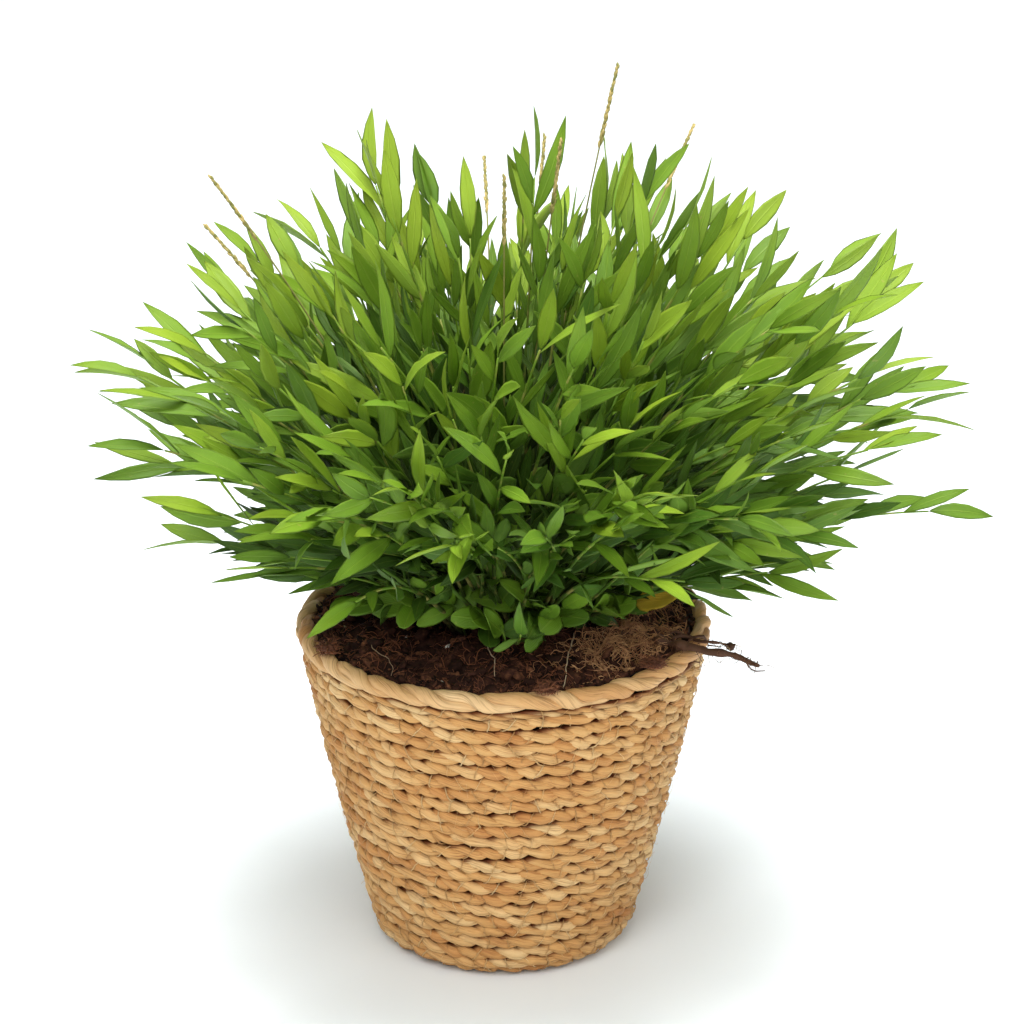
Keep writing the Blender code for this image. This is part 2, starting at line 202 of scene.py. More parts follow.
# ---- meshes ----
class Piece:
    """One visible piece: closed skins gathered into a single mesh."""

    def __init__(self, name: str) -> None:
        """Starts an empty piece."""
        self.name = name
        self.points: list[Array] = []
        self.faces: dict[int, list[Array]] = {4: [], 3: []}
        self.maps: dict[int, list[Array]] = {4: [], 3: []}
        self.values: dict[str, list[Array]] = {}
        self.count = 0

    def skin(
        self,
        rings: Array,
        along: Array | None = None,
        ends: Array | None = None,
        looped: bool = False,
        **values: Array | float,
    ) -> None:
        """Adds closed bodies, each a run of rings with a pole at both ends.

        Args:
            rings: shape (bodies, steps, sides, 3).
            along: the map's first coordinate, shape (bodies, steps).
            ends: the two poles, shape (bodies, 2, 3); else the end rings' middles.
            looped: the last ring joins the first, and there are no poles.
            values: attributes that broadcast to (bodies, steps, sides).
        """
        bodies, steps, sides = rings.shape[:3]
        if along is None:
            along = np.linspace(0, 1, steps)
        along = np.broadcast_to(along, (bodies, steps))
        if ends is None:
            ends = rings[:, [0, -1]].mean(axis=2)
        poles = 0 if looped else 2
        block = steps * sides + poles
        start = self.count + block * np.arange(bodies)[:, None, None]
        rows = np.arange(steps if looped else steps - 1)[:, None]
        after = (rows + 1) % steps
        side = np.arange(sides)[None]
        beside = (side + 1) % sides
        corners = [rows * sides + side, after * sides + side]
        corners += [after * sides + beside, rows * sides + beside]
        quads = start[..., None] + np.stack(corners, axis=-1)
        step = along[:, 1:] - along[:, :-1]
        if looped:
            step = np.concatenate([step, step[:, -1:]], axis=1)
        low = along[:, : rows.size, None]
        high = low + step[..., None]
        left = np.broadcast_to(side / sides, (bodies, rows.size, sides))
        right = left + 1 / sides
        first = [np.broadcast_to(value, left.shape) for value in (low, high, high, low)]
        quad_map = np.stack([np.stack(first, -1), np.stack([left, left, right, right], -1)], -1)
        groups = [(4, quads.reshape(-1, 4), quad_map.reshape(-1, 4, 2))]
        if not looped:
            for pole, row, flip in ((0, 0, False), (1, steps - 1, True)):
                ring = row * sides + side[0]
                near = row * sides + beside[0]
                tip = np.full(sides, steps * sides + pole)
                pair = [near, ring] if flip else [ring, near]
                fan = start[:, 0, :, None] + np.stack([*pair, tip], axis=-1)
                edge = np.stack([side[0] / sides, (side[0] + 1) / sides], -1)
                edge = edge[:, ::-1] if flip else edge
                fan_map = np.zeros((bodies, sides, 3, 2))
                fan_map[..., 0] = along[:, row, None, None]
                fan_map[..., :2, 1] = edge
                fan_map[..., 2, 1] = edge.mean(axis=-1)
                groups.append((3, fan.reshape(-1, 3), fan_map.reshape(-1, 3, 2)))
        body = rings.reshape(bodies, steps * sides, 3)
        inside_out = self._volume(body[0], quads[0].reshape(-1, 4) - start[0, 0, 0]) < 0
        if not looped:
            body = np.concatenate([body, ends], axis=1)
        for size, made, its_map in groups:
            turn = slice(None, None, -1) if inside_out else slice(None)
            self.faces[size].append(made[:, turn])
            self.maps[size].append(its_map[:, turn])
        self.points.append(body.reshape(-1, 3))
        for name in set(values) | set(self.values):
            held = self.values.setdefault(name, [np.zeros(self.count)])
            spread = np.broadcast_to(values.get(name, 0.0), (bodies, steps, sides))
            spread = spread.reshape(bodies, -1)
            if not looped:
                tips = spread.reshape(bodies, steps, sides)[:, [0, -1]].mean(axis=2)
                spread = np.concatenate([spread, tips], axis=1)
            held.append(spread.reshape(-1))
        self.count += bodies * block

    @staticmethod
    def _volume(points: Array, quads: NDArray[np.int64]) -> float:
        """Signed volume under the quads, measured from their own middle."""
        corner = points[quads] - points.mean(axis=0)
        one = np.cross(corner[:, 0], corner[:, 1])
        two = np.cross(corner[:, 0], corner[:, 2])
        total = (one * corner[:, 2]).sum() + (two * corner[:, 3]).sum()
        return float(total)

    def build(self, surface: "Surface", slot: str, *nodes: str) -> None:
        """Writes the mesh, dresses it and sets it in the frame.

        Args:
            surface: its material.
            slot: not used.
            nodes: the CAD nodes that it stands for.
        """
        mesh = bpy.data.meshes.new(self.name)
        points = np.concatenate(self.points)
        faces = {size: np.concatenate(made) for size, made in self.faces.items() if made}
        maps = [np.concatenate(self.maps[size]).reshape(-1, 2) for size in faces]
        corners = np.concatenate([made.ravel() for made in faces.values()])
        sizes = np.concatenate([np.full(len(made), size) for size, made in faces.items()])
        mesh.vertices.add(len(points))
        mesh.vertices.foreach_set("co", points.astype(np.float32).ravel())
        mesh.loops.add(len(corners))
        mesh.loops.foreach_set("vertex_index", corners.astype(np.int32))
        mesh.polygons.add(len(sizes))
        starts = np.concatenate([[0], np.cumsum(sizes)[:-1]])
        mesh.polygons.foreach_set("loop_start", starts.astype(np.int32))
        mesh.update(calc_edges=True)
        layer = mesh.uv_layers.new(name="Strand")
        layer.data.foreach_set("uv", np.concatenate(maps).astype(np.float32).ravel())
        for name, held in self.values.items():
            spread = mesh.attributes.new(name, "FLOAT", "POINT")
            spread.data.foreach_set("value", np.concatenate(held).astype(np.float32))
        mesh.shade_smooth()
        mesh.materials.append(surface.material)
        made = bpy.data.objects.new(self.name, mesh)
        bpy.context.scene.collection.objects.link(made)
        if nodes:
            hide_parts(*nodes)
        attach(made, BODY)
        LOG.info("%s: %d points, %d faces", self.name, len(points), len(sizes))


def add_piece(
    name: str, rings: Array, tone: Array | float, surface: "Surface", slot: str, *nodes: str
) -> None:
    """Makes a piece whose skins all come from one set of rings.

    Args:
        name: the piece's name.
        rings: shape (bodies, steps, sides, 3).
        tone: broadcasts to (bodies, steps, sides).
        surface: its material.
        slot: the record's slot name, passed on to Piece.build.
        nodes: the CAD nodes that it stands for.
    """
    piece = Piece(name)
    piece.skin(rings, tone=tone)
    piece.build(surface, slot, *nodes)


# ---- materials ----
class Value:
    """One socket of a material's nodes, with arithmetic on it."""

    def __init__(self, surface: "Surface", socket: bpy.types.NodeSocket) -> None:
        """Wraps a socket."""
        self.surface = surface
        self.socket = socket

    def maths(self, operation: str, *others: "Value | float") -> "Value":
        """A Math node on this value and others."""
        return self.surface.node("ShaderNodeMath", {"operation": operation}, [self, *others])

    def __add__(self, other: "Value | float") -> "Value":
        """The sum."""
        return self.maths("ADD", other)

    __radd__ = __add__

    def __mul__(self, other: "Value | float") -> "Value":
        """The product."""
        return self.maths("MULTIPLY", other)

    __rmul__ = __mul__

    def __sub__(self, other: "Value | float") -> "Value":
        """The difference."""
        return self.maths("SUBTRACT", other)

    def __rsub__(self, other: float) -> "Value":
        """The difference, from a number."""
        return self.surface.node("ShaderNodeMath", {"operation": "SUBTRACT"}, [other, self])

    def clamp(self) -> "Value":
        """Held between 0 and 1."""
        return self.surface.node("ShaderNodeClamp", {}, [self])

    def band(self, low: float, high: float) -> "Value":
        """0 at low, 1 at high, an S curve between."""
        settings = {"interpolation_type": "SMOOTHSTEP"}
        return self.surface.node("ShaderNodeMapRange", settings, [self, low, high])


Colour = tuple[float, float, float]


class Surface:
    """A material made of nodes, ending in one Principled shader."""

    def __init__(self, name: str, roughness: float = 0.6, specular: float = 0.5) -> None:
        """Starts a material with its own roughness and gloss."""
        self.material = bpy.data.materials.new(name)
        self.material.use_nodes = True
        self.nodes = self.material.node_tree.nodes
        self.links = self.material.node_tree.links
        self.shader = self.nodes["Principled BSDF"]
        self.shader.inputs["Roughness"].default_value = roughness
        self.shader.inputs["Specular IOR Level"].default_value = specular

    def node(
        self,
        kind: str,
        settings: dict[str, Any],
        inputs: list[Any] | dict[str, Any],
        out: int | str = 0,
    ) -> Value:
        """Adds a node.

        Args:
            kind: its type.
            settings: what is set on the node itself, first.
            inputs: values or links, in socket order or by socket name.
            out: which output is wanted.

        Returns:
            That output.
        """
        made = self.nodes.new(kind)
        for name, setting in settings.items():
            setattr(made, name, setting)
        pairs = inputs.items() if isinstance(inputs, dict) else enumerate(inputs)
        for key, given in pairs:
            if isinstance(given, Value):
                self.links.new(given.socket, made.inputs[key])
            elif given is not None:
                made.inputs[key].default_value = given
        return Value(self, made.outputs[out])

    def attribute(self, name: str) -> Value:
        """A number kept on the mesh's points."""
        return self.node("ShaderNodeAttribute", {"attribute_name": name}, [], "Fac")

    def place(self, stretch: tuple[float, float, float]) -> Value:
        """Object coordinates, stretched."""
        where = self.node("ShaderNodeTexCoord", {}, [], "Object")
        return self.node("ShaderNodeMapping", {}, {"Vector": where, "Scale": stretch})

    def strand(self, stretch: tuple[float, float, float]) -> Value:
        """The piece's own map, along and round each strand, stretched."""
        where = self.node("ShaderNodeUVMap", {"uv_map": "Strand"}, [])
        return self.node("ShaderNodeMapping", {}, {"Vector": where, "Scale": stretch})

    def part(self, vector: Value, axis: str) -> Value:
        """One coordinate of a vector."""
        return self.node("ShaderNodeSeparateXYZ", {}, [vector], axis)

    def noise(self, vector: Value, detail: float = 3.0, rough: float = 0.55, warp: float = 0.0) -> Value:
        """Cloudy noise, 0 to 1, of unit scale on the vector."""
        inputs = {"Vector": vector, "Scale": 1.0, "Detail": detail, "Roughness": rough, "Distortion": warp}
        return self.node("ShaderNodeTexNoise", {}, inputs)

    def cloud(self, scale: float, detail: float = 3.0, rough: float = 0.55) -> Value:
        """Cloudy noise of even scale through the object's own space."""
        return self.noise(self.place((scale,) * 3), detail, rough)

    def mix(self, share: Value | float, one: Value | Colour, two: Value | Colour) -> Value:
        """Two colours mixed."""
        given = [c if isinstance(c, Value) else (*c, 1.0) for c in (one, two)]
        inputs = {0: share, 6: given[0], 7: given[1]}
        return self.node("ShaderNodeMix", {"data_type": "RGBA"}, inputs, 2)

    def ramp(self, share: Value, *stops: tuple[float, Colour]) -> Value:
        """A colour read from stops of (place, colour)."""
        made = self.nodes.new("ShaderNodeValToRGB")
        bar = made.color_ramp.elements
        for stop, (place, colour) in enumerate(stops):
            element = bar[stop] if stop < 2 else bar.new(place)
            element.position = place
            element.color = (*colour, 1.0)
        self.links.new(share.socket, made.inputs[0])
        return Value(self, made.outputs[0])

    def dress(
        self, colour: Value, rough: Value | None = None, bump: Value | None = None, height: float = 0.0
    ) -> "Surface":
        """Joins the colour, roughness and bump to the shader.

        Args:
            colour: for Base Color.
            rough: for Roughness, where it varies.
            bump: the height of the fine relief, 0 to 1.
            height: what 1 stands for, in metres.

        Returns:
            This material.
        """
        self.links.new(colour.socket, self.shader.inputs["Base Color"])
        if rough:
            self.links.new(rough.socket, self.shader.inputs["Roughness"])
        if bump:
            inputs = {"Strength": 1.0, "Distance": height, "Height": bump}
            relief = self.node("ShaderNodeBump", {}, inputs)
            self.links.new(relief.socket, self.shader.inputs["Normal"])
        return self


def rgb(red: int, green: int, blue: int) -> Colour:
    """A colour given as it is seen, 0 to 255, as the shader takes it."""
    seen = np.array([red, green, blue]) / 255
    linear = np.where(seen <= 0.04045, seen / 12.92, ((seen + 0.055) / 1.055) ** 2.4)
    return tuple(float(part) for part in linear)


@dataclass(frozen=True)
class DriedLeafFinish:
    """Dried seagrass: long fine creases along each strand, one tone to a strand, and painted shade in the
    creases and between strands.
    """

    name: str
    pale: Colour
    middle: Colour
    burnt: Colour
    # gap: the colour of the painted shade in the creases and the gaps between strands
    gap: Colour
    creases: float = 26.0  # round a strand
    grain: float = 90.0  # along it, per metre

    def surface(self) -> Surface:
        """Tone by strand and by slow cloud, with painted shade darkening the creases and the gaps between
        strands.
        """
        made = Surface(self.name, 0.62, 0.35)
        tone = made.attribute("tone")
        deep = made.attribute("deep")
        crease = made.noise(made.strand((self.grain, self.creases, 1.0)), 4.0, 0.6, 0.4)
        cloud = made.cloud(55.0)
        share = tone * 0.62 + cloud * 0.5 + crease * 0.45 - 0.28
        colour = made.ramp(share.clamp(), (0.0, self.burnt), (1.0, self.pale), (0.5, self.middle))
        fleck = made.noise(made.strand((self.grain * 4, self.creases * 0.5, 1.0)), 2.0).band(0.66, 0.78)
        colour = made.mix(fleck * 0.35, colour, self.burnt)
        # Painted shade: creases, and points that lie deep between the plies, are darkened towards the gap
        # colour
        dark = (crease.band(0.50, 0.30) * 0.45 + deep.band(0.35, 1.0)).clamp()
        colour = made.mix(dark, colour, self.gap)
        return made.dress(colour, crease * 0.25 + 0.5, crease + cloud * 0.3, 0.0006)


@dataclass(frozen=True)
class LeafFinish:
    """Living leaf: fine veins along the blade, a pale midrib and paler margins."""

    name: str = "Leaf"
    lime: Colour = rgb(142, 168, 40)
    fresh: Colour = rgb(102, 138, 30)
    green: Colour = rgb(60, 98, 22)
    # deep: near-black green for the innermost, lowest leaves, painted shade over their own deep green
    deep: Colour = rgb(12, 30, 9)
    yellow: Colour = rgb(214, 176, 60)
    straw: Colour = rgb(176, 152, 92)

    def surface(self) -> Surface:
        """Colour by the blade's own tone, shaded along it and veined across it."""
        made = Surface(self.name, 0.46, 0.28)
        tone = made.attribute("tone")
        under = made.attribute("under")
        across = made.attribute("across")
        stem = made.attribute("stem")
        old = made.attribute("old")
        along = made.part(made.strand((1.0, 1.0, 1.0)), "X")
        cloud = made.cloud(70.0)
        share = tone + cloud * 0.24 - 0.12 + along * 0.10 - 0.05
        stops = ((0.0, self.deep), (1.0, self.lime), (0.38, self.green), (0.68, self.fresh))
        colour = made.ramp(share.clamp(), *stops)
        veins = (across * 52.0).maths("SINE") * 0.5 + 0.5
        rib = across.maths("ABSOLUTE").band(0.10, 0.02)
        margin = across.maths("ABSOLUTE").band(0.86, 0.99)
        lighter = (veins * 0.07 + rib * 0.10 + margin * 0.12) * (1.0 - stem)
        colour = made.mix(lighter, colour, rgb(186, 208, 86))
        colour = made.mix(under * 0.30, colour, rgb(126, 158, 66))
        spot = made.cloud(420.0, 2.0).band(0.70, 0.76)
        colour = made.mix(spot * 0.25, colour, self.straw)
        colour = made.mix((old * 1.3 - along * 0.3).clamp(), colour, self.yellow)
        node = made.cloud(160.0, 2.0).band(0.5, 0.7)
        colour = made.mix(stem * (node * 0.4 + 0.05), colour, self.straw)
        relief = veins * 0.5 + rib * 0.8 + cloud * 0.6
        return made.dress(colour, cloud * 0.2 + 0.36, relief, 0.00012)


@dataclass(frozen=True)
class EarthFinish:
    """Peat and perlite: crumbs, each with its own tone."""

    name: str
    dark: Colour
    middle: Colour
    light: Colour
    scale: float = 500.0

    def surface(self) -> Surface:
        """Colour by crumb and by each body's own tone."""
        made = Surface(self.name, 0.92, 0.15)
        tone = made.attribute("tone")
        cloud = made.cloud(60.0, 4.0)
        crumb = made.cloud(self.scale, 5.0, 0.7)
        share = cloud * 0.6 + crumb * 1.0 + tone * 0.6 - 0.72
        colour = made.ramp(share.clamp(), (0.0, self.dark), (1.0, self.light), (0.5, self.middle))
        return made.dress(colour, crumb * 0.2 + 0.75, crumb + cloud, 0.0006)


@dataclass(frozen=True)
class StrawFinish:
    """Thin dry growth: flower heads, bare roots and loose fibres."""

    name: str
    dark: Colour
    light: Colour

    def surface(self) -> Surface:
        """A tone to each strand, streaked along it."""
        made = Surface(self.name, 0.7, 0.3)
        streak = made.noise(made.strand((40.0, 5.0, 1.0)), 3.0)
        cloud = made.cloud(300.0)
        share = made.attribute("tone") * 0.7 + streak * 0.3 + cloud * 0.3 - 0.2
        colour = made.ramp(share.clamp(), (0.0, self.dark), (1.0, self.light))
        return made.dress(colour, cloud * 0.2 + 0.6, streak, 0.0001)


@dataclass(frozen=True)
class LinerFinish:
    """Thin black film, creased and dull."""

    def surface(self) -> Surface:
        """Near black with patches of peat dust."""
        made = Surface("Liner film", 0.6, 0.2)
        crease = made.noise(made.place((90.0, 90.0, 45.0)), 4.0, 0.5, 1.5)
        dust = made.cloud(40.0, 4.0).band(0.52, 0.7)
        colour = made.mix(dust * 0.5, rgb(16, 15, 16), rgb(52, 42, 36))
        return made.dress(colour, dust * 0.3 + 0.5, crease, 0.0012)


# ---- what the frame says ----
def node_points(frame: dict[str, Any], node: str) -> Array:
    """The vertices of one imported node, in metres."""
    mesh = frame["nodes"][node].data
    points = np.empty(len(mesh.vertices) * 3, np.float32)
    mesh.vertices.foreach_get("co", points)
    return points.reshape(-1, 3).astype(float)


def outline(points: Array) -> tuple[Array, Array]:
    """A turned node's outside, as heights and the radius at each height."""
    radius = np.hypot(points[:, 0], points[:, 1])
    heights = np.unique(points[:, 2].round(5))
    widest = [radius[np.abs(points[:, 2] - height) < 2e-5].max() for height in heights]
    return heights, np.array(widest)


class Side(Enum):
    """Which way a stitch slants across its row."""

    RISING = 1
    FALLING = -1


# ---- basket ----
@dataclass
class Basket:
    """Rows of two-ply seagrass rope, coiled up the wall and sewn to each other."""

    frame: dict[str, Any]
    corner: float = 10 * MM  # radius round the bottom edge
    pitch: float = 4.8 * MM  # from one row to the next
    twist: float = 16 * MM  # rope length of one full turn of the plies
    ply_radius: float = 1.78 * MM
    ply_offset: float = 0.92 * MM  # from the rope's middle to each ply's
    depth: float = 2.7 * MM  # the rope's middle lies this far in from the wall's outside
    # gap_depth: how far below the rows the painted shade of the gaps reaches its darkest
    gap_depth: float = 2.1 * MM  # how far below the rows the gaps are at their darkest
    fineness: int = 400  # points to a turn, before they are spread evenly
    step: float = 1.35 * MM  # from one ring of a ply to the next
    sides: int = 10
    off_floor: float = 0.05 * MM
    stitch_radius: float = 0.17 * MM
    stitches_cast: int = 1600  # more than the rope has room for
    hair_radius: float = 0.055 * MM
    fuzz: int = 420  # loose fibres
    finish: DriedLeafFinish = DriedLeafFinish(
        "Seagrass", rgb(236, 206, 152), rgb(204, 154, 92), rgb(174, 106, 46), rgb(110, 54, 18)
    )
    thread: DriedLeafFinish = DriedLeafFinish(
        "Stitching",
        rgb(240, 212, 160),
        rgb(224, 180, 118),
        rgb(178, 118, 62),
        rgb(120, 76, 40),
        creases=3.0,
    )

    def __post_init__(self) -> None:
        """Reads the wall's outside and lays the rope's route up it."""
        self.heights, self.radii = outline(node_points(self.frame, "basket_wall"))
        self.top = float(self.heights[-1])
        self.foot = float(np.interp(self.corner, self.heights, self.radii))
        self.rng = np.random.default_rng(11)
        self.corner_length = self.corner * np.pi / 2
        slope = np.hypot(self.radii[-1] - self.foot, self.top - self.corner)
        self.length = self.corner_length + float(slope)

    def profile(self, run: Array) -> tuple[Array, Array, Array]:
        """The wall's outside at a distance up it from the seam underneath.

        Args:
            run: distance along the outline, round the corner and up the side.

        Returns:
            Radius, height, and the outward angle above level, as arrays.
        """
        turn = np.clip(run / self.corner, 0, np.pi / 2)
        share = np.clip((run - self.corner_length) / (self.length - self.corner_length), 0, 1)
        height = np.where(
            run < self.corner_length,
            self.corner * (1 - np.cos(turn)),
            self.corner + share * (self.top - self.corner),
        )
        side = np.interp(height, self.heights, self.radii)
        bend = self.foot - self.corner + self.corner * np.sin(turn)
        radius = np.where(run < self.corner_length, bend, side)
        lean = -np.arctan2(self.radii[-1] - self.foot, self.top - self.corner)
        outward = np.where(run < self.corner_length, turn - np.pi / 2, 0.0)
        easing = smooth(self.corner_length - 4 * MM, self.corner_length + 4 * MM, run)
        return radius, height, outward * (1 - easing) + lean * easing

    def route(self, first: float, last: float, flat: bool) -> dict[str, Array]:
        """The rope's middle line, coiled between two distances.

        A turn raises the rope by one pitch.  Over the first and last turns it
        thickens from nothing and thins to nothing, so the rows end level.

        Args:
            first: where it starts, up the wall, or out from the middle.
            last: where it ends.
            flat: coiled on the underside, not up the wall.

        Returns:
            place, out, up, along, share (thickness), run and travel.
        """
        turns = (last - first) / self.pitch + 1
        fine = np.linspace(0, turns, int(turns * self.fineness))
        start = np.minimum(fine, 1.0)
        end = np.minimum(turns - fine, 1.0)
        share = np.minimum(start, end)
        run = first + self.pitch * (fine - 0.5)
        run = np.where(fine < 1, first + self.pitch * fine / 2, run)
        run = np.where(turns - fine < 1, last - self.pitch * (turns - fine) / 2, run)
        if flat:
            radius, height = run, np.zeros_like(run)
            outward = np.full_like(run, -np.pi / 2)
        else:
            radius, height, outward = self.profile(run)
        angle = fine * TURN
        travel = np.concatenate([[0], np.cumsum(np.diff(angle) * (radius[1:] + radius[:-1]) / 2)])
        even = np.arange(0, travel[-1], self.step)
        pick = [np.interp(even, travel, held) for held in (angle, radius, height, outward, share, run)]
        angle, radius, height, outward, share, run = pick
        heading = polar(angle, np.ones_like(angle), np.zeros_like(angle))
        across = polar(angle + np.pi / 2, np.ones_like(angle), np.zeros_like(angle))
        out = heading * np.cos(outward)[:, None] + UP * np.sin(outward)[:, None]
        up = UP * np.cos(outward)[:, None] - heading * np.sin(outward)[:, None]
        skin = polar(angle, radius, height)
        drift = np.stack([run * 60, angle], axis=-1)
        rise = waves(drift, 0.9, 5) * 0.26 * MM * share
        sink = waves(drift, 0.5, 6) * 0.16 * MM
        depth = self.depth * (0.35 + 0.65 * share)
        place = skin - out * (depth + sink)[:, None] + up * rise[:, None]
        frame = {"place": place, "out": out, "up": up, "along": across}
        return {**frame, "share": share, "run": run, "travel": even}

    def ply(self, route: dict[str, Array], which: int) -> tuple[Array, dict[str, Array]]:
        """One ply of the rope, wound round the rope's middle line.

        Its middle is place + offset * (cos * out + sin * up), and the angle
        falls steadily with travel, which slants it down to the right.

        Args:
            route: the rope's middle line.
            which: 0 or 1.

        Returns:
            Its rings, and the attributes of their points.
        """
        travel = route["travel"]
        line = travel[:, None]
        wander = waves(line, 34 * MM, 21) * 0.55 + waves(line, 300 * MM, 22) * 0.9
        phase = -TURN * travel / self.twist + np.pi * which + wander
        swell = 1 + 0.10 * waves(line, 13 * MM, 31 + which) + 0.05 * waves(line, 5 * MM, 33 + which)
        size = self.ply_radius * swell * route["share"]
        offset = self.ply_offset * route["share"]
        across = np.cos(phase)[:, None] * route["out"] + np.sin(phase)[:, None] * route["up"]
        centre = route["place"] + across * offset[:, None]
        tangent = unit(np.gradient(centre, axis=0))
        side = unit(np.cross(tangent, route["out"]))
        normal = np.cross(side, tangent)
        angle = circle(self.sides)
        ridge = 1 + 0.05 * np.cos(3 * angle + phase[:, None] * 2)
        ridge = ridge + 0.03 * np.cos(4 * angle + travel[:, None] * 900)
        ring = side[:, None] * np.cos(angle)[:, None] + normal[:, None] * np.sin(angle)[:, None]
        rings = centre[:, None] + ring * (size[:, None] * ridge)[..., None]
        lift = np.einsum("sij,sj->si", rings - route["place"][:, None], route["out"])
        rings[..., 2] = np.maximum(rings[..., 2], self.off_floor)
        segment = np.floor((-phase / TURN) + 0.5).astype(int)
        segment -= segment.min()
        tones = self.rng.beta(2.2, 2.0, segment.max() + 1)
        slow = waves(np.stack([route["run"] * 40, travel * 6], -1), 1.0, 41) * 0.07
        low = smooth(22 * MM, 6 * MM, route["run"])
        tone = np.clip(tones[segment] + slow - 0.14 * low, 0, 1)
        values = {
            "tone": np.broadcast_to(tone[:, None], lift.shape)[None],
            # painted shade: darkest where a ring point lies at or behind the rope's middle, fading outwards
            # over gap_depth
            "deep": np.clip(1 - lift / self.gap_depth, 0, 1)[None],
        }
        return rings, values

    def stitches(self, route: dict[str, Array]) -> tuple[Array, Array]:
        """Thin stitches that hug each row from the groove above to the one below.

        Args:
            route: the rope's middle line.

        Returns:
            Their rings and their tones.
        """
        gaps = self.rng.uniform(4.5 * MM, 13 * MM, self.stitches_cast)
        at = np.cumsum(gaps)
        at = at[at < route["travel"][-1]]
        pick = (at / self.step).astype(int)
        lean = np.where(self.rng.random(len(at)) < 0.6, Side.RISING.value, Side.FALLING.value)
        slant = lean * self.rng.uniform(0.2, 2.2, len(at)) * MM
        bend = np.linspace(-1.28, 1.28, 8)
        reach = self.rng.uniform(2.45, 2.72, len(at))[:, None] * MM * route["share"][pick][:, None]
        part = {name: route[name][pick][:, None] for name in ("place", "out", "up", "along")}
        path = part["place"] + part["out"] * (reach * np.cos(bend))[..., None]
        path = path + part["up"] * (reach * 1.04 * np.sin(bend))[..., None]
        sway = slant[:, None] * bend + self.rng.normal(size=(len(at), 8)) * 0.10 * MM
        path = path + part["along"] * sway[..., None]
        thick = self.stitch_radius * self.rng.uniform(0.7, 1.35, len(at))[:, None]
        return tube_rings(path, thick, 4), self.rng.random(len(at))

    def hairs(self, route: dict[str, Array]) -> tuple[Array, Array]:
        """Loose fibres that stand off the rows.

        Args:
            route: the rope's middle line.

        Returns:
            Their rings and their tones.
        """
        count = self.fuzz
        pick = self.rng.choice(np.flatnonzero(route["run"] > 1.3 * self.corner_length), count)
        share = np.linspace(0, 1, 7)
        foot = route["place"][pick] + route["out"][pick] * 2.3 * MM
        lean = self.rng.normal(size=(count, 3))
        heading = unit(route["along"][pick] * lean[:, :1] + route["up"][pick] * lean[:, 1:2] * 0.8)
        length = self.rng.uniform(3.0, 9.0, count)[:, None] * MM
        rise = self.rng.uniform(0.3, 1.9, count)[:, None] * MM
        curl = self.rng.normal(size=(count, 1)) * 0.45
        path = foot[:, None] + heading[:, None] * (length * share)[..., None]
        path = path + route["out"][pick][:, None] * (rise * np.sin(share * np.pi * 0.7))[..., None]
        path = path + route["up"][pick][:, None] * (length * curl * share * share)[..., None]
        thick = self.hair_radius * (1 - 0.5 * share)[None]
        return tube_rings(path, thick, 3), self.rng.random(count)

    def build(self) -> None:
        """Makes both plies of the wall and the base, the stitches and the fuzz."""
        surface = self.finish.surface()
        wall = self.route(0.0, self.length, flat=False)
        base = self.route(0.0, self.foot - self.corner, flat=True)
        for which, name in enumerate(("wall_rope_a", "wall_rope_b")):
            rings, values = self.ply(wall, which)
            piece = Piece(name)
            piece.skin(rings[None], wall["travel"][None], **values)
            piece.build(surface, "seagrass", "basket_wall")
        under = Piece("base_rope")
        for which in range(2):
            rings, values = self.ply(base, which)
            under.skin(rings[None], base["travel"][None], **values)
        under.build(surface, "seagrass", "basket_base")
        thread = self.thread.surface()
        for name, make in (("stitches", self.stitches), ("loose_fibres", self.hairs)):
            rings, tones = make(wall)
            add_piece(name, rings, tones[:, None, None], thread, "seagrass")


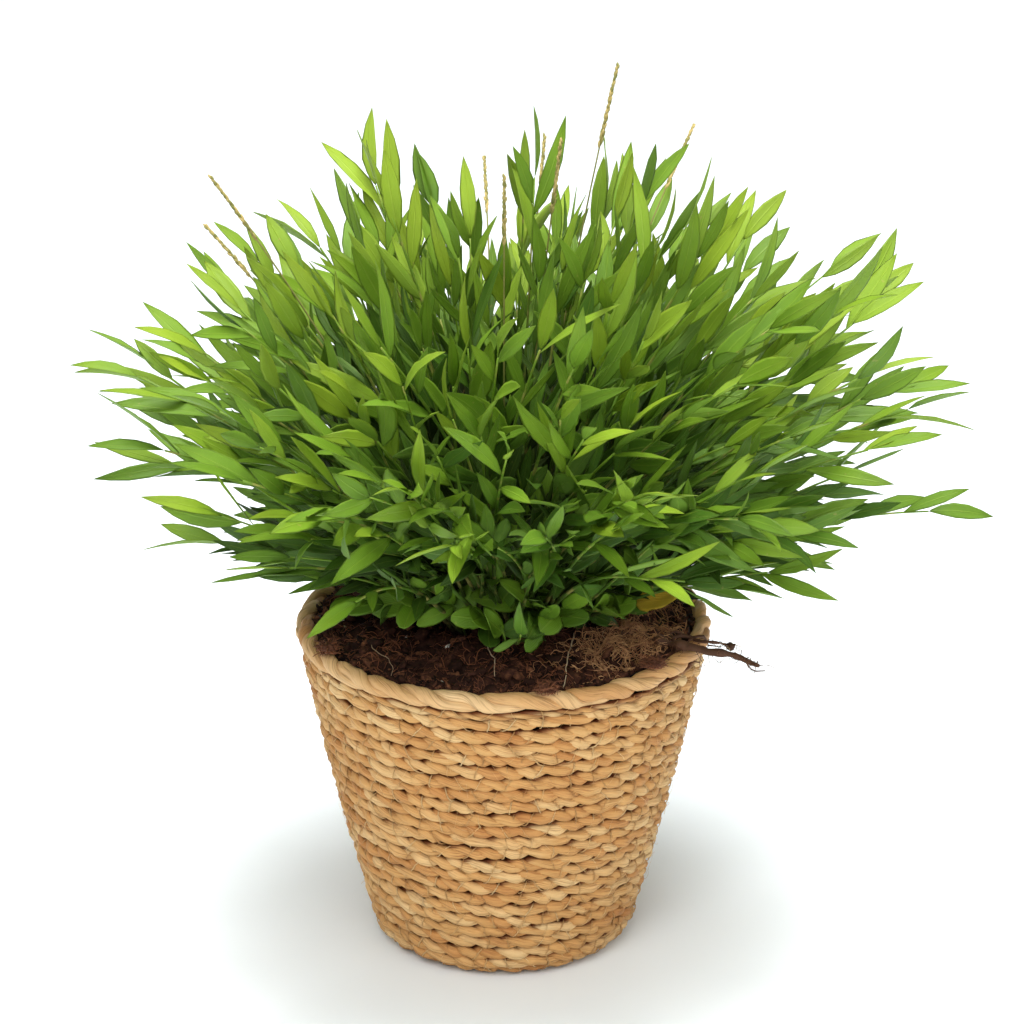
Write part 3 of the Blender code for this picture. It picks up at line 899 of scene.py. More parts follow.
@dataclass
class Rim:
    """The thick two-ply braid that closes the wall's top edge."""

    frame: dict[str, Any]
    turns: int = 15  # full twists all round
    ply_share: float = 0.62  # of the braid's half height
    offset_share: float = 0.40
    steps: int = 640
    sides: int = 20
    finish: DriedLeafFinish = DriedLeafFinish(
        "Rim braid",
        rgb(228, 194, 144),
        rgb(202, 154, 98),
        rgb(170, 110, 56),
        rgb(88, 50, 26),
        creases=24.0,
    )

    def build(self) -> None:
        """Winds both plies round the ring."""
        points = node_points(self.frame, "rim_braid")
        radius = np.hypot(points[:, 0], points[:, 1])
        middle = (radius.max() + radius.min()) / 2
        height = (points[:, 2].max() + points[:, 2].min()) / 2
        half = (points[:, 2].max() - points[:, 2].min()) / 2
        rng = np.random.default_rng(23)
        turn = circle(self.steps)
        ring = flat_place(turn, 1.0)
        out = polar(turn, 1.0, 0.0)
        path = polar(turn, middle, height) + UP * (waves(ring, 0.5, 51) * 0.25 * MM)[:, None]
        piece = Piece("rim_rope")
        for which in range(2):
            wander = waves(ring, 0.30, 52) * 0.34
            phase = -self.turns * turn + np.pi * which + wander
            across = np.cos(phase)[:, None] * out + np.sin(phase)[:, None] * UP
            centre = path + across * half * self.offset_share
            tangent = unit(np.roll(centre, -1, axis=0) - np.roll(centre, 1, axis=0))
            side = unit(np.cross(tangent, across))
            normal = np.cross(side, tangent)
            angle = circle(self.sides)
            swell = half * self.ply_share * (1 + 0.06 * waves(ring, 0.12, 54 + which))
            ridge = 1 + 0.035 * np.cos(7 * angle + 2 * phase[:, None])
            ridge = ridge + 0.02 * np.cos(11 * angle - turn[:, None] * 9)
            flat = 1 + 0.16 * np.cos(angle) ** 2
            spread = side[:, None] * (np.cos(angle) * flat)[:, None]
            spread = spread + normal[:, None] * np.sin(angle)[:, None]
            rings = centre[:, None] + spread * (swell[:, None] * ridge)[..., None]
            lift = np.linalg.norm(rings - path[:, None], axis=-1)
            segment = np.floor(-phase / TURN + 0.5).astype(int) % self.turns
            tones = rng.beta(1.6, 1.3, self.turns)
            tone = np.broadcast_to(tones[segment][:, None], lift.shape)
            # painted shade: darkest on the points nearest the braid's middle line, between the plies
            deep = np.clip(1 - (lift - 0.2 * half) / (0.72 * half), 0, 1)
            along = turn * middle
            piece.skin(rings[None], along[None], looped=True, tone=tone[None], deep=deep[None])
        piece.build(self.finish.surface(), "braid", "rim_braid")


# ---- filling ----
@dataclass
class Filling:
    """Liner, peat, coir, crumbs and roots."""

    frame: dict[str, Any]
    fibres: int = 1100  # of coir, all over
    crumbs: int = 1300
    spilt: int = 1300  # lumps between the peat's edge and the braid
    pearls: int = 9  # of perlite
    mat_strands: int = 620
    clump_strands: int = 110
    clump_lumps: int = 9
    moss_strands: int = 90
    grid: int = 200  # points round the peat
    rows: int = 70  # rings across its top
    # heaps of peat: azimuth in degrees, then how far out, how high and how wide in millimetres
    heaps: tuple[tuple[float, ...], ...] = (
        (-152, 55, 3.6, 10), (-128, 56, 2.2, 9), (-30, 54, 3.4, 11), (160, 54, 2, 12)
    )
    # bare roots on the peat: from x, y to x, y, and radius, all in millimetres, then tone
    bare_runs: tuple[tuple[float, ...], ...] = (
        (24, -16, 19, -59, 0.30, 1.0),
        (-4, -26, -3, -49, 0.26, 0.8),
        (-44, -20, -36, -53, 0.18, 0.3),
        (34, -4, 35, -38, 0.18, 0.3),
    )
    mat_azimuth: tuple[float, float] = (-27, 18)  # middle and spread, in degrees
    mat_out: tuple[float, float] = (38, 63)  # nearest and furthest, in millimetres
    moss_at: tuple[float, float] = (34, -2)  # in millimetres
    moss_spread: float = 2.6 * MM
    peat: EarthFinish = EarthFinish("Peat", rgb(20, 11, 8), rgb(66, 38, 28), rgb(156, 104, 72))
    coir: StrawFinish = StrawFinish("Coir", rgb(58, 30, 22), rgb(160, 100, 66))
    root: StrawFinish = StrawFinish("Root bark", rgb(40, 24, 17), rgb(128, 86, 60))
    mat: StrawFinish = StrawFinish("Root mat", rgb(140, 86, 58), rgb(232, 180, 128))
    bare: StrawFinish = StrawFinish("Bare root", rgb(150, 120, 90), rgb(214, 192, 160))
    mineral: EarthFinish = EarthFinish(
        "Perlite", rgb(196, 190, 180), rgb(226, 222, 214), rgb(244, 242, 238)
    )
    pink: StrawFinish = StrawFinish("Young shoot", rgb(196, 110, 90), rgb(232, 180, 160))
    moss: StrawFinish = StrawFinish("Moss", rgb(56, 92, 34), rgb(120, 150, 60))

    def __post_init__(self) -> None:
        """Reads the peat's outline: its heights across the top, and its wall."""
        points = node_points(self.frame, "soil")
        radius = np.hypot(points[:, 0], points[:, 1])
        self.edge = float(radius.max())
        top = points[points[:, 2] > points[radius > self.edge - 1e-5, 2].max() - 1e-5]
        order = np.argsort(np.hypot(top[:, 0], top[:, 1]))
        self.top_radius = np.hypot(top[:, 0], top[:, 1])[order]
        self.top_height = top[order, 2]
        self.floor = float(points[:, 2].min())
        low = radius[points[:, 2] < self.floor + 1e-5]
        self.floor_radius = float(low.max())
        self.rng = np.random.default_rng(37)

    def ground(self, x: Array, y: Array) -> Array:
        """The peat's height at a place: the outline, heaps, hollows and lumps."""
        radius = np.hypot(x, y)
        base = np.interp(radius, self.top_radius, self.top_height)
        spot = np.stack([x, y], -1)
        near_edge = smooth(self.edge, self.edge - 5 * MM, radius)
        lumps = waves(spot, 22 * MM, 61) * 0.9 + waves(spot, 9 * MM, 62) * 0.55
        lumps = lumps + waves(spot, 4 * MM, 63) * 0.35
        lumps = lumps + np.abs(waves(spot, 2.6 * MM, 64)) * 0.35
        heaps = 0.0
        for azimuth, out, height, wide in self.heaps:
            turn = np.radians(azimuth)
            away = np.hypot(x - out * MM * np.cos(turn), y - out * MM * np.sin(turn))
            heaps = heaps + height * np.exp(-((away / (wide * MM)) ** 2))
        return base + (lumps * near_edge + heaps) * MM

    def spots(self, count: int, inner: float = 0.0) -> Array:
        """Random places on the peat, evenly spread, shape (count, 2)."""
        radius = np.sqrt(self.rng.uniform(inner**2, 1, count)) * (self.edge - 0.6 * MM)
        return flat_place(self.rng.uniform(0, TURN, count), radius)

    def surface_piece(self) -> None:
        """The peat: one closed body, up the liner and across the lumpy top."""
        angle = circle(self.grid)
        top = self.edge * np.sin(np.linspace(1.0, 0.012, self.rows) * np.pi / 2)
        across = np.cos(angle) * top[:, None]
        along = np.sin(angle) * top[:, None]
        cap = np.stack([across, along, self.ground(across, along)], -1)
        sides = np.linspace(0, 1, 6)[:-1, None]
        radius = self.floor_radius + (self.edge - self.floor_radius) * sides
        height = self.floor + (cap[0, :, 2] - self.floor) * sides
        wall = polar(angle[None], radius, height)
        rings = np.concatenate([wall, cap])
        tone = 0.35 + 0.2 * waves(rings[..., :2], 14 * MM, 66)
        add_piece("peat", rings[None], tone[None], self.peat.surface(), "peat", "soil")

    def lying(
        self,
        count: int,
        length: tuple[float, float],
        thick: tuple[float, float],
        seed: int,
        at: Array | None = None,
    ) -> Array:
        """Curly strands that lie on the peat.

        Args:
            count: how many.
            length: shortest and longest, in millimetres.
            thick: thinnest and thickest radius, in millimetres.
            seed: chooses their shapes.
            at: the places of their middles, where they aren't spread all over.

        Returns:
            Their rings.
        """
        rng = np.random.default_rng(seed)
        spread = self.spots(count, 0.3)
        middle = spread if at is None else at
        steps = np.linspace(-0.5, 0.5, 9)
        long = rng.uniform(*length, count)[:, None] * MM
        heading = rng.uniform(0, TURN, count)[:, None] + rng.normal(size=(count, 1)) * 1.6 * steps
        curl = rng.normal(size=(count, 1)) * 1.4
        heading = heading + curl * np.sin(steps * 9 + rng.uniform(0, TURN, (count, 1)))
        step = long / (len(steps) - 1)
        usual = heading.mean(1, keepdims=True)
        x = middle[:, :1] + np.cumsum(np.cos(heading) * step, axis=1) - np.cos(usual) * long / 2
        y = middle[:, 1:] + np.cumsum(np.sin(heading) * step, axis=1) - np.sin(usual) * long / 2
        out = np.hypot(x, y)
        squeeze = np.minimum(1, (self.edge - 0.3 * MM) / np.maximum(out, 1e-6))
        x, y = x * squeeze, y * squeeze
        arch = rng.uniform(0.1, 1.7, count)[:, None] * MM * np.cos(steps * np.pi) ** 2
        z = self.ground(x, y) + arch + rng.uniform(-0.2, 0.4, count)[:, None] * MM
        size = rng.uniform(*thick, count)[:, None] * MM * (1 - 0.5 * np.abs(steps) * 2) ** 0.5
        return tube_rings(np.stack([x, y, z], -1), size, 4)

    def lumps(self, at: Array, size: Array, flat: Array, seed: int) -> Array:
        """Knobbly closed lumps resting at places on the peat.

        Args:
            at: their places, shape (count, 2).
            size: half their widths.
            flat: their height as a share of their width.
            seed: chooses their shapes.

        Returns:
            Their rings.
        """
        rng = np.random.default_rng(seed)
        lat = np.linspace(-1, 1, 6)[1:-1] * np.pi / 2
        ball = polar(circle(7), np.cos(lat)[:, None], np.sin(lat)[:, None])
        rough = 1 + 0.24 * rng.normal(size=(len(at), 4, 7, 1)).clip(-1.5, 1.5)
        stretch = np.stack([rng.uniform(0.7, 1.4, len(at)), rng.uniform(0.7, 1.4, len(at)), flat], -1)
        shape = ball[None] * rough * stretch[:, None, None]
        turn = rng.uniform(0, TURN, len(at))
        cos, sin = np.cos(turn)[:, None, None], np.sin(turn)[:, None, None]
        x = shape[..., 0] * cos - shape[..., 1] * sin
        y = shape[..., 0] * sin + shape[..., 1] * cos
        tilt = rng.normal(size=(len(at), 1, 1)) * 0.4
        z = shape[..., 2] + x * tilt
        base = np.column_stack([at, self.ground(at[:, 0], at[:, 1]) + size * flat * 0.45])
        return base[:, None, None] + np.stack([x, y, z], -1) * size[:, None, None, None]

    def scatter(self) -> None:
        """Coir fibres, crumbs of peat and perlite."""
        rings = self.lying(self.fibres, (4, 15), (0.06, 0.17), 71)
        tone = self.rng.random((self.fibres, 1, 1))
        add_piece("coir_fibres", rings, tone, self.coir.surface(), "peat")
        at = self.spots(self.crumbs)
        size = self.rng.gamma(2.0, 0.42, self.crumbs).clip(0.3, 2.6) * MM
        rings = self.lumps(at, size, self.rng.uniform(0.5, 0.9, self.crumbs), 72)
        tone = self.rng.random((self.crumbs, 1, 1))
        add_piece("peat_crumbs", rings, tone, self.peat.surface(), "peat")
        self.spill()
        at = self.spots(self.pearls, 0.6)
        size = self.rng.uniform(0.3, 0.85, self.pearls) * MM
        rings = self.lumps(at, size, np.full(self.pearls, 0.8), 73)
        add_piece("perlite", rings, 0.5, self.mineral.surface(), "peat")

    def spill(self) -> None:
        """Peat and coir heaped from the peat's edge over the film to the braid."""
        film = float(node_points(self.frame, "liner")[:, 2].max())
        braid = node_points(self.frame, "rim_braid")
        outer = float(np.hypot(braid[:, 0], braid[:, 1]).min())
        rng = np.random.default_rng(76)

        def heaped(rings: Array) -> Array:
            """Lifts rings that lie at the peat's level to the film's edge."""
            x, y = rings[..., 0].mean((1, 2)), rings[..., 1].mean((1, 2))
            share = smooth(self.edge - 5 * MM, self.edge, np.hypot(x, y))
            lift = (film - 0.3 * MM - self.ground(x, y)) * share
            rings[..., 2] += lift[:, None, None]
            return rings

        angle = rng.uniform(0, TURN, self.spilt)
        at = flat_place(angle, rng.uniform(self.edge - 4 * MM, outer + 0.5 * MM, self.spilt))
        size = rng.gamma(2.0, 0.36, self.spilt).clip(0.35, 1.5) * MM
        rings = heaped(self.lumps(at, size, rng.uniform(0.5, 0.9, self.spilt), 77))
        tone = rng.random((self.spilt, 1, 1))
        add_piece("peat_at_edge", rings, tone, self.peat.surface(), "peat")
        pick = rng.choice(self.spilt, self.spilt // 3, replace=False)
        rings = heaped(self.lying(len(pick), (3, 8), (0.07, 0.16), 78, at[pick]))
        tone = rng.random((len(pick), 1, 1))
        add_piece("coir_at_edge", rings, tone, self.coir.surface(), "peat")

    def laid(self, start: Array, end: Array, radius: Array) -> Array:
        """Bare roots that run out over the peat, nearly straight.

        Args:
            start: where they leave the clump, shape (roots, 2).
            end: their tips.
            radius: their thickness.

        Returns:
            Their rings.
        """
        share = np.linspace(0, 1, 24)
        way = end - start
        side = np.stack([-way[:, 1], way[:, 0]], -1)
        place = share + np.arange(len(start))[:, None] * 3.0
        wander = waves(place[..., None], 0.9, 98) * 0.03 * np.sin(share * np.pi)
        wander = wander + 0.004 * waves(place[..., None], 0.2, 99)
        flat = start[:, None] + way[:, None] * share[:, None] + side[:, None] * wander[..., None]
        z = self.ground(flat[..., 0], flat[..., 1])
        for _ in range(12):
            z[:, 1:-1] = (z[:, :-2] + z[:, 1:-1] + z[:, 2:]) / 3
        z = z + (0.5 + 1.3 * np.sin(share * np.pi)) * MM
        taper = radius[:, None] * (1 - 0.55 * share)
        return tube_rings(np.concatenate([flat, z[..., None]], -1), taper, 6)

    def root_mat(self) -> None:
        """The mat of fine reddish roots heaped inside the rim on the right."""
        count = self.mat_strands
        angle = np.radians(self.rng.normal(*self.mat_azimuth, count))
        at = flat_place(angle, self.rng.uniform(*self.mat_out, count) * MM)
        rings = self.lying(count, (5, 14), (0.07, 0.16), 107, at)
        rings[..., 2] += self.rng.uniform(0, 2.2, (count, 1, 1)) * MM
        tone = self.rng.random((count, 1, 1))
        add_piece("root_mat", rings, tone, self.mat.surface(), "peat")

    def thick_root(self, node: str, seed: int, sides: int, knots: float) -> tuple[Array, Array]:
        """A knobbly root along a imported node's own line.

        Args:
            node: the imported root.
            seed: chooses its knobs.
            sides: points round it.
            knots: how much its thickness varies.

        Returns:
            Its rings and its line.
        """
        points = node_points(self.frame, node)
        out = unit(points[np.hypot(points[:, 0], points[:, 1]).argmax()] * [1, 1, 0])
        run = points @ out
        bins = np.linspace(run.min(), run.max(), 13)
        middle = [points[np.abs(run - at) < (bins[1] - bins[0])].mean(axis=0) for at in bins]
        line = np.array(middle)
        fine = np.linspace(0, 12, 60)
        line = read_line(line, fine)
        line += (bins[0] - line[0] @ out) * out * (1 - fine / 12)[:, None]
        line += (bins[-1] - line[-1] @ out) * out * (fine / 12)[:, None]
        spot = fine[:, None]
        across = np.cross(out, UP)
        line = line + across * (waves(spot, 5, seed) * 0.6 * MM)[:, None]
        line = line + UP * (waves(spot, 4, seed + 1) * 0.18 * MM)[:, None]
        first = np.ptp(points[run < bins[1]] @ across) / 2
        taper = first * (1 - 0.62 * (fine / 12) ** 2)
        radius = taper * (1 + knots * waves(spot, 1.6, seed + 2))
        rings = tube_rings(line[None], radius[None], sides)[0]
        middle_line = line[:, None]
        spot = np.stack(np.broadcast_arrays(fine[:, None] * 1.6, np.arange(sides) * 1.0), -1)
        bumps = 1 + 0.10 * waves(spot, 2.2, seed + 3)
        return middle_line + (rings - middle_line) * bumps[..., None], line

    def rootlets(self, line: Array, count: int, length: float, thick: float, seed: int) -> Array:
        """Fine curly rootlets that leave a root's line."""
        rng = np.random.default_rng(seed)
        foot = line[rng.integers(min(8, len(line) // 2), len(line), count)]
        share = np.linspace(0, 1, 9)
        heading = unit(rng.normal(size=(count, 3)) * [1, 1, 0.45])
        sideways = unit(np.cross(heading, UP))
        size = rng.uniform(0.4, 1.0, count)[:, None] * length
        path = foot[:, None] + heading[:, None] * (size * share)[..., None]
        wave = np.sin(share * rng.uniform(3, 9, count)[:, None]) * size * 0.16
        path = path + sideways[:, None] * wave[..., None]
        path[..., 2] += -0.35 * (size * share**2) + 0.10 * size * np.sin(share * 7)
        return tube_rings(path, thick * (1 - 0.6 * share)[None], 4)

    def roots(self) -> None:
        """The roots over the rim, the pale ones on the peat, and the clumps."""
        bark = self.root.surface()
        curls = np.empty((0, 3))
        for node, sides, knots, hairs, long in (
            ("root_over_rim", 12, 0.20, 46, 8 * MM),
            ("thin_root_over_rim", 8, 0.12, 16, 8 * MM),
        ):
            piece = Piece(node + "_skin")
            rings, line = self.thick_root(node, 81 + sides, sides, knots)
            piece.skin(rings[None], tone=0.35)
            fine = self.rootlets(line, hairs, long, 0.15 * MM, 91 + sides)
            piece.skin(fine, tone=self.rng.random((hairs, 1, 1)))
            branches = self.rootlets(line[:50], 5, 15 * MM, 0.5 * MM, 94 + sides)
            piece.skin(branches, tone=0.4)
            if node.startswith("thin"):
                curls = line[-14:]
                knot = self.lumps(np.zeros((3, 2)), np.array([1.5, 1.2, 1.0]) * MM, np.full(3, 0.9), 95)
                knot += line[-3] - np.array([0, 0, self.ground(np.zeros(1), np.zeros(1))[0]])
                piece.skin(knot, tone=0.2)
            piece.build(bark, "root", node)
        pale = Piece("bare_roots")
        runs = np.array(self.bare_runs)
        rings = self.laid(runs[:, :2] * MM, runs[:, 2:4] * MM, runs[:, 4] * MM)
        pale.skin(rings, tone=runs[:, 5, None, None])
        pale.skin(self.rootlets(curls, 9, 9 * MM, 0.10 * MM, 105), tone=0.7)
        pale.build(self.bare.surface(), "root")
        self.root_mat()
        clump_coir = self.coir.surface()
        for seed, where in enumerate(("left", "front", "right"), start=101):
            node = "fibre_clump_" + where
            low, high = (np.array(corner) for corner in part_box(node))
            self.clump(node, low, high, seed, clump_coir)

    def clump(self, node: str, low: Array, high: Array, seed: int, surface: Surface) -> None:
        """A small mat of fibre and crumbs, within a packed clump's box.

        Args:
            node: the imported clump.
            low: its lowest corner.
            high: its highest corner.
            seed: chooses its strands.
            surface: its material.
        """
        rng = np.random.default_rng(seed)
        count = self.clump_strands
        middle = (low + high) / 2
        half = (high - low) / 2
        foot = middle + half * rng.uniform(-0.7, 0.7, (count, 3))
        heading = unit(rng.normal(size=(count, 3)) * [1, 1, 0.35])
        share = np.linspace(-0.5, 0.5, 7)
        size = rng.uniform(3, 7.5, count)[:, None] * MM
        path = foot[:, None] + heading[:, None] * (size * share)[..., None]
        bow = np.cross(heading, UP)[:, None] * (size * 0.3 * (share**2 * 4 - 0.5))[..., None]
        path = path + bow * rng.normal(size=(count, 1, 1))
        path[..., 2] = np.clip(path[..., 2], low[2] + 0.2 * MM, high[2] + 0.8 * MM)
        piece = Piece(node + "_mat")
        thick = rng.uniform(0.08, 0.2, count)[:, None] * MM * np.ones(7)
        piece.skin(tube_rings(path, thick, 4), tone=rng.random((count, 1, 1)) * 0.8)
        blobs = self.clump_lumps
        size = rng.uniform(0.7, 1.4, blobs) * MM
        lump = self.lumps(np.zeros((blobs, 2)), size, np.full(blobs, 0.7), seed + 7)
        offset = middle + half * rng.uniform(-0.6, 0.6, (blobs, 3)) * [1, 1, 0.4]
        offset[:, 2] -= self.ground(np.zeros(1), np.zeros(1))[0]
        piece.skin(lump + offset[:, None, None], tone=0.1)
        piece.build(surface, "peat", node)

    def small_growth(self) -> None:
        """The pink young shoot and the tuft of moss beside it."""
        low, high = (np.array(corner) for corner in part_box("young_shoot"))
        share = np.linspace(0, 1, 14)
        path = low + (high - low) * np.array([0.5, 0.5, 0.0])
        path = path + (high - low) * np.stack([share * 0.5, -share * 0.1, share], -1)
        size = (1.0 * np.sin(np.clip(share * 0.85 + 0.15, 0, 1) * np.pi) ** 0.6 + 0.05) * MM
        bud = tube_rings(path[None], size[None], 10)
        tone = (share * 0.9)[None, :, None]
        add_piece("young_shoot_bud", bud, tone, self.pink.surface(), "pink_shoot", "young_shoot")
        rng = np.random.default_rng(111)
        count = self.moss_strands
        at = np.array(self.moss_at) * MM + rng.normal(size=(count, 2)) * self.moss_spread
        foot = np.column_stack([at, self.ground(at[:, 0], at[:, 1])])
        heading = unit(rng.normal(size=(count, 3)) * [0.6, 0.6, 0.2] + UP)
        share = np.linspace(0, 1, 5)
        size = rng.uniform(1.5, 4, count)[:, None] * MM
        path = foot[:, None] + heading[:, None] * (size * share)[..., None]
        rings = tube_rings(path, 0.16 * MM * (1.05 - share)[None], 4)
        add_piece("moss", rings, rng.random((count, 1, 1)), self.moss.surface(), "peat")

    def build(self) -> None:
        """Everything inside the rim."""
        film = self.frame["nodes"]["liner"].data.materials
        film.clear()
        film.append(LinerFinish().surface().material)
        self.surface_piece()
        self.scatter()
        self.roots()
        self.small_growth()


# ---- foliage ----
@dataclass(frozen=True)
class Blade:
    """One kind of leaf."""

    length: float
    width: float
    spread: float  # how much lengths differ, each way
    fold: float  # how far the halves rise from the midrib, as a share of width
    droop: float  # how far the tip falls, as a share of length
    spacing: float  # from one leaf to the next up a stem
    splay: tuple[float, float]  # least and most angle from the stem, in radians
    past_stem: float  # share of the tip leaf that reaches past the stem
    outward: float = 0.35  # how much its face looks away from the clump
    thickness: float = 0.16 * MM
    rounded: float = 0.62  # lower is blunter at the stem
    pointed: float = 1.05  # lower is blunter at the tip
    # painted_tip_light: painted light, the outer tip of a shoot paler than its shaded foot
    painted_tip_light: float = 0.0  # how much paler the tip of a shoot is than its foot
    lowest: float = -1.0  # sine of the steepest fall of a leaf
    palest: float = 0.93  # tone of the palest leaf


STEM_STEPS = 14  # points along every stem
ALONG_STEM = np.linspace(0, 1, STEM_STEPS)
LANCE = Blade(
    length=27 * MM, width=5.5 * MM, spread=0.30, fold=0.28, droop=0.12,
    spacing=10 * MM, splay=(0.22, 0.66), past_stem=0.86,
    rounded=0.95, painted_tip_light=0.20, lowest=-0.08,
)
OVAL = Blade(
    length=15.5 * MM, width=8.8 * MM, spread=0.24, fold=0.14, droop=0.20,
    spacing=8 * MM, splay=(0.5, 1.2), past_stem=0.7,
    outward=1.0, pointed=0.50, painted_tip_light=0.80, lowest=-0.55, palest=0.60,
)


@dataclass
class Leaves:
    """A batch of leaves, one row each, ready to be skinned."""

    foot: list[Array] = field(default_factory=list)
    heading: list[Array] = field(default_factory=list)
    face: list[Array] = field(default_factory=list)
    length: list[Array] = field(default_factory=list)
    width: list[Array] = field(default_factory=list)
    tone: list[Array] = field(default_factory=list)
    old: list[Array] = field(default_factory=list)


@dataclass
class Foliage:
    """Culms with their leaves, low shoots with theirs, and flower spikes."""

    frame: dict[str, Any]
    companions: int = 290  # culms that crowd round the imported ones
    side_reach: float = 104 * MM
    full_reach: float = 166 * MM
    top_reach: float = 151 * MM
    lean: float = 0.06  # how much further it reaches on the right than in the middle
    low_lean: float = 0.14  # the same, more, for the lowest culms
    front_rise: float = 31.0  # degrees, the lowest that a culm in front stands
    left_rise: float = 21.0  # the same on the left
    right_rise: float = 18.0  # and on the right
    lowest: float = 14.5  # degrees above level
    golden: float = 137.508  # degrees from one shoot to the next
    clump: float = 30 * MM  # radius of the ground that the culms stand on
    arch: float = 24.0  # degrees that a culm is steeper at its foot
    low_arch: float = 20.0  # the same for a short shoot
    bow: float = 2.2 * MM  # how far a culm strays from its arch
    culm_radius: float = 0.72 * MM
    thin_radius: float = 0.42 * MM  # of a short shoot or a flower stalk
    bare: tuple[float, float] = (0.22, 0.42)  # share of a culm below its first leaf
    low_bare: float = 0.35  # the same for a short shoot
    tone: float = 0.06  # of a culm's leaves, before light and place lift it
    low_tone: float = 0.42  # the same for a short shoot
    ragged: tuple[float, float] = (0.70, 1.08)  # shortest and longest, as shares of the usual reach
    short_shoots: int = 104
    low_rise: tuple[float, float] = (10, 66)  # degrees
    low_reach: tuple[float, float] = (37, 55)  # millimetres
    low_dome: float = 14  # millimetres that a short shoot gains as it stands upright
    low_foot: tuple[float, float] = (12, 29)  # millimetres from the axis
    turning: float = np.radians(-30)  # azimuth of the one shoot with a yellow leaf
    yellowed: float = 0.9  # how far that leaf has turned
    grains: int = 40  # in a flower head
    grain_radius: float = 0.50 * MM
    head_start: float = 0.84  # share of the stalk below the head
    stations: int = 6  # rings along a leaf
    sides: int = 8
    finish: LeafFinish = LeafFinish()
    head: StrawFinish = StrawFinish("Flower head", rgb(84, 100, 34), rgb(206, 180, 116))

    def __post_init__(self) -> None:
        """Finds the peat's top and every packed culm's foot and tip."""
        self.rng = np.random.default_rng(7)
        self.peat_top = float(node_points(self.frame, "soil")[:, 2].max())
        self.crown = np.array([0.0, 0.0, self.peat_top])
        self.culms = sorted(name for name in self.frame["nodes"] if name.startswith("culm_"))
        self.spikes = sorted(name for name in self.frame["nodes"] if name.startswith("flower_spike_"))
        self.lows = sorted(name for name in self.frame["nodes"] if name.startswith("low_shoot_"))

    def ends(self, node: str) -> tuple[Array, Array]:
        """A packed shoot's foot and tip."""
        points = node_points(self.frame, node)
        tip = points[np.linalg.norm(points - self.crown, axis=1).argmax()]
        out = unit(tip * [1, 1, 0])
        steep = points[:, 2] * 1.0 + (points @ out) * 1.2
        return points[steep.argmin()], tip

    def all_ends(self, nodes: list[str]) -> tuple[Array, Array]:
        """The feet and the tips of several packed shoots."""
        feet, tips = zip(*(self.ends(node) for node in nodes))
        return np.array(feet), np.array(tips)

    def heading(self, azimuth: Array, rise: Array) -> Array:
        """Unit vectors at an azimuth and a rise, in radians."""
        return polar(azimuth, np.cos(rise), np.sin(rise))

    def blades(self, piece: Piece, leaves: Leaves, kind: Blade) -> None:
        """Skins a batch of leaves.

        The midrib runs foot + heading * length * t, and falls from the face by
        droop * t squared.  Half the width at t is t to the power rounded times
        1 - t to the power pointed, and the halves rise from the midrib by fold.

        Args:
            piece: takes the leaves.
            leaves: where they grow, and their sizes and tones.
            kind: the sort of leaf.
        """
        foot, heading, face, length, width, tone, old = (
            np.concatenate(getattr(leaves, part)) for part in vars(leaves)
        )
        count = len(foot)
        rng = self.rng
        along = (1 - np.cos(np.linspace(0, 1, self.stations + 2)[1:-1] * np.pi)) / 2
        side = unit(np.cross(heading, face))
        face = np.cross(side, heading)
        droop = kind.droop * rng.uniform(-0.7, 2.2, count)
        sway = rng.normal(size=count) * 0.10
        middle = foot[:, None] + heading[:, None] * (length[:, None] * along)[..., None]
        middle = middle - face[:, None] * (length[:, None] * droop[:, None] * along**2)[..., None]
        middle = middle + side[:, None] * (length[:, None] * sway[:, None] * along**2)[..., None]
        peak = kind.rounded / (kind.rounded + kind.pointed)
        top = peak**kind.rounded * (1 - peak) ** kind.pointed
        outline_half = along**kind.rounded * (1 - along) ** kind.pointed / top / 2
        half = width[:, None] * outline_half
        twist = rng.normal(size=(count, 1)) * 0.55 * along
        cos, sin = np.cos(twist)[..., None], np.sin(twist)[..., None]
        turned = side[:, None] * cos + face[:, None] * sin
        upper = face[:, None] * cos - side[:, None] * sin
        angle = circle(self.sides)
        x = np.cos(angle)
        fold = kind.fold * rng.uniform(0.3, 1.6, (count, 1, 1))
        ripple = 0.05 * np.sin(along[None, :, None] * 17 + rng.uniform(0, TURN, (count, 1, 1))) * np.sign(x)
        lift = half[..., None] * (fold * np.abs(x) + ripple * np.abs(x))
        thick = kind.thickness * np.sin(angle) * (0.4 + 0.6 * outline_half[None, :, None] * 2)
        rings = middle[:, :, None] + turned[:, :, None] * (half[..., None] * x)[..., None]
        rings = rings + upper[:, :, None] * (lift + thick)[..., None]
        tip = middle[:, -1] + (middle[:, -1] - middle[:, -2]) * (1 - along[-1]) / (along[-1] - along[-2])
        ends = np.stack([foot, tip], axis=1)
        under = (np.sin(angle) < -0.01).astype(float)
        each = {"tone": tone[:, None, None], "old": old[:, None, None]}
        piece.skin(rings, along, ends, **each, under=under[None, None], across=x[None, None])

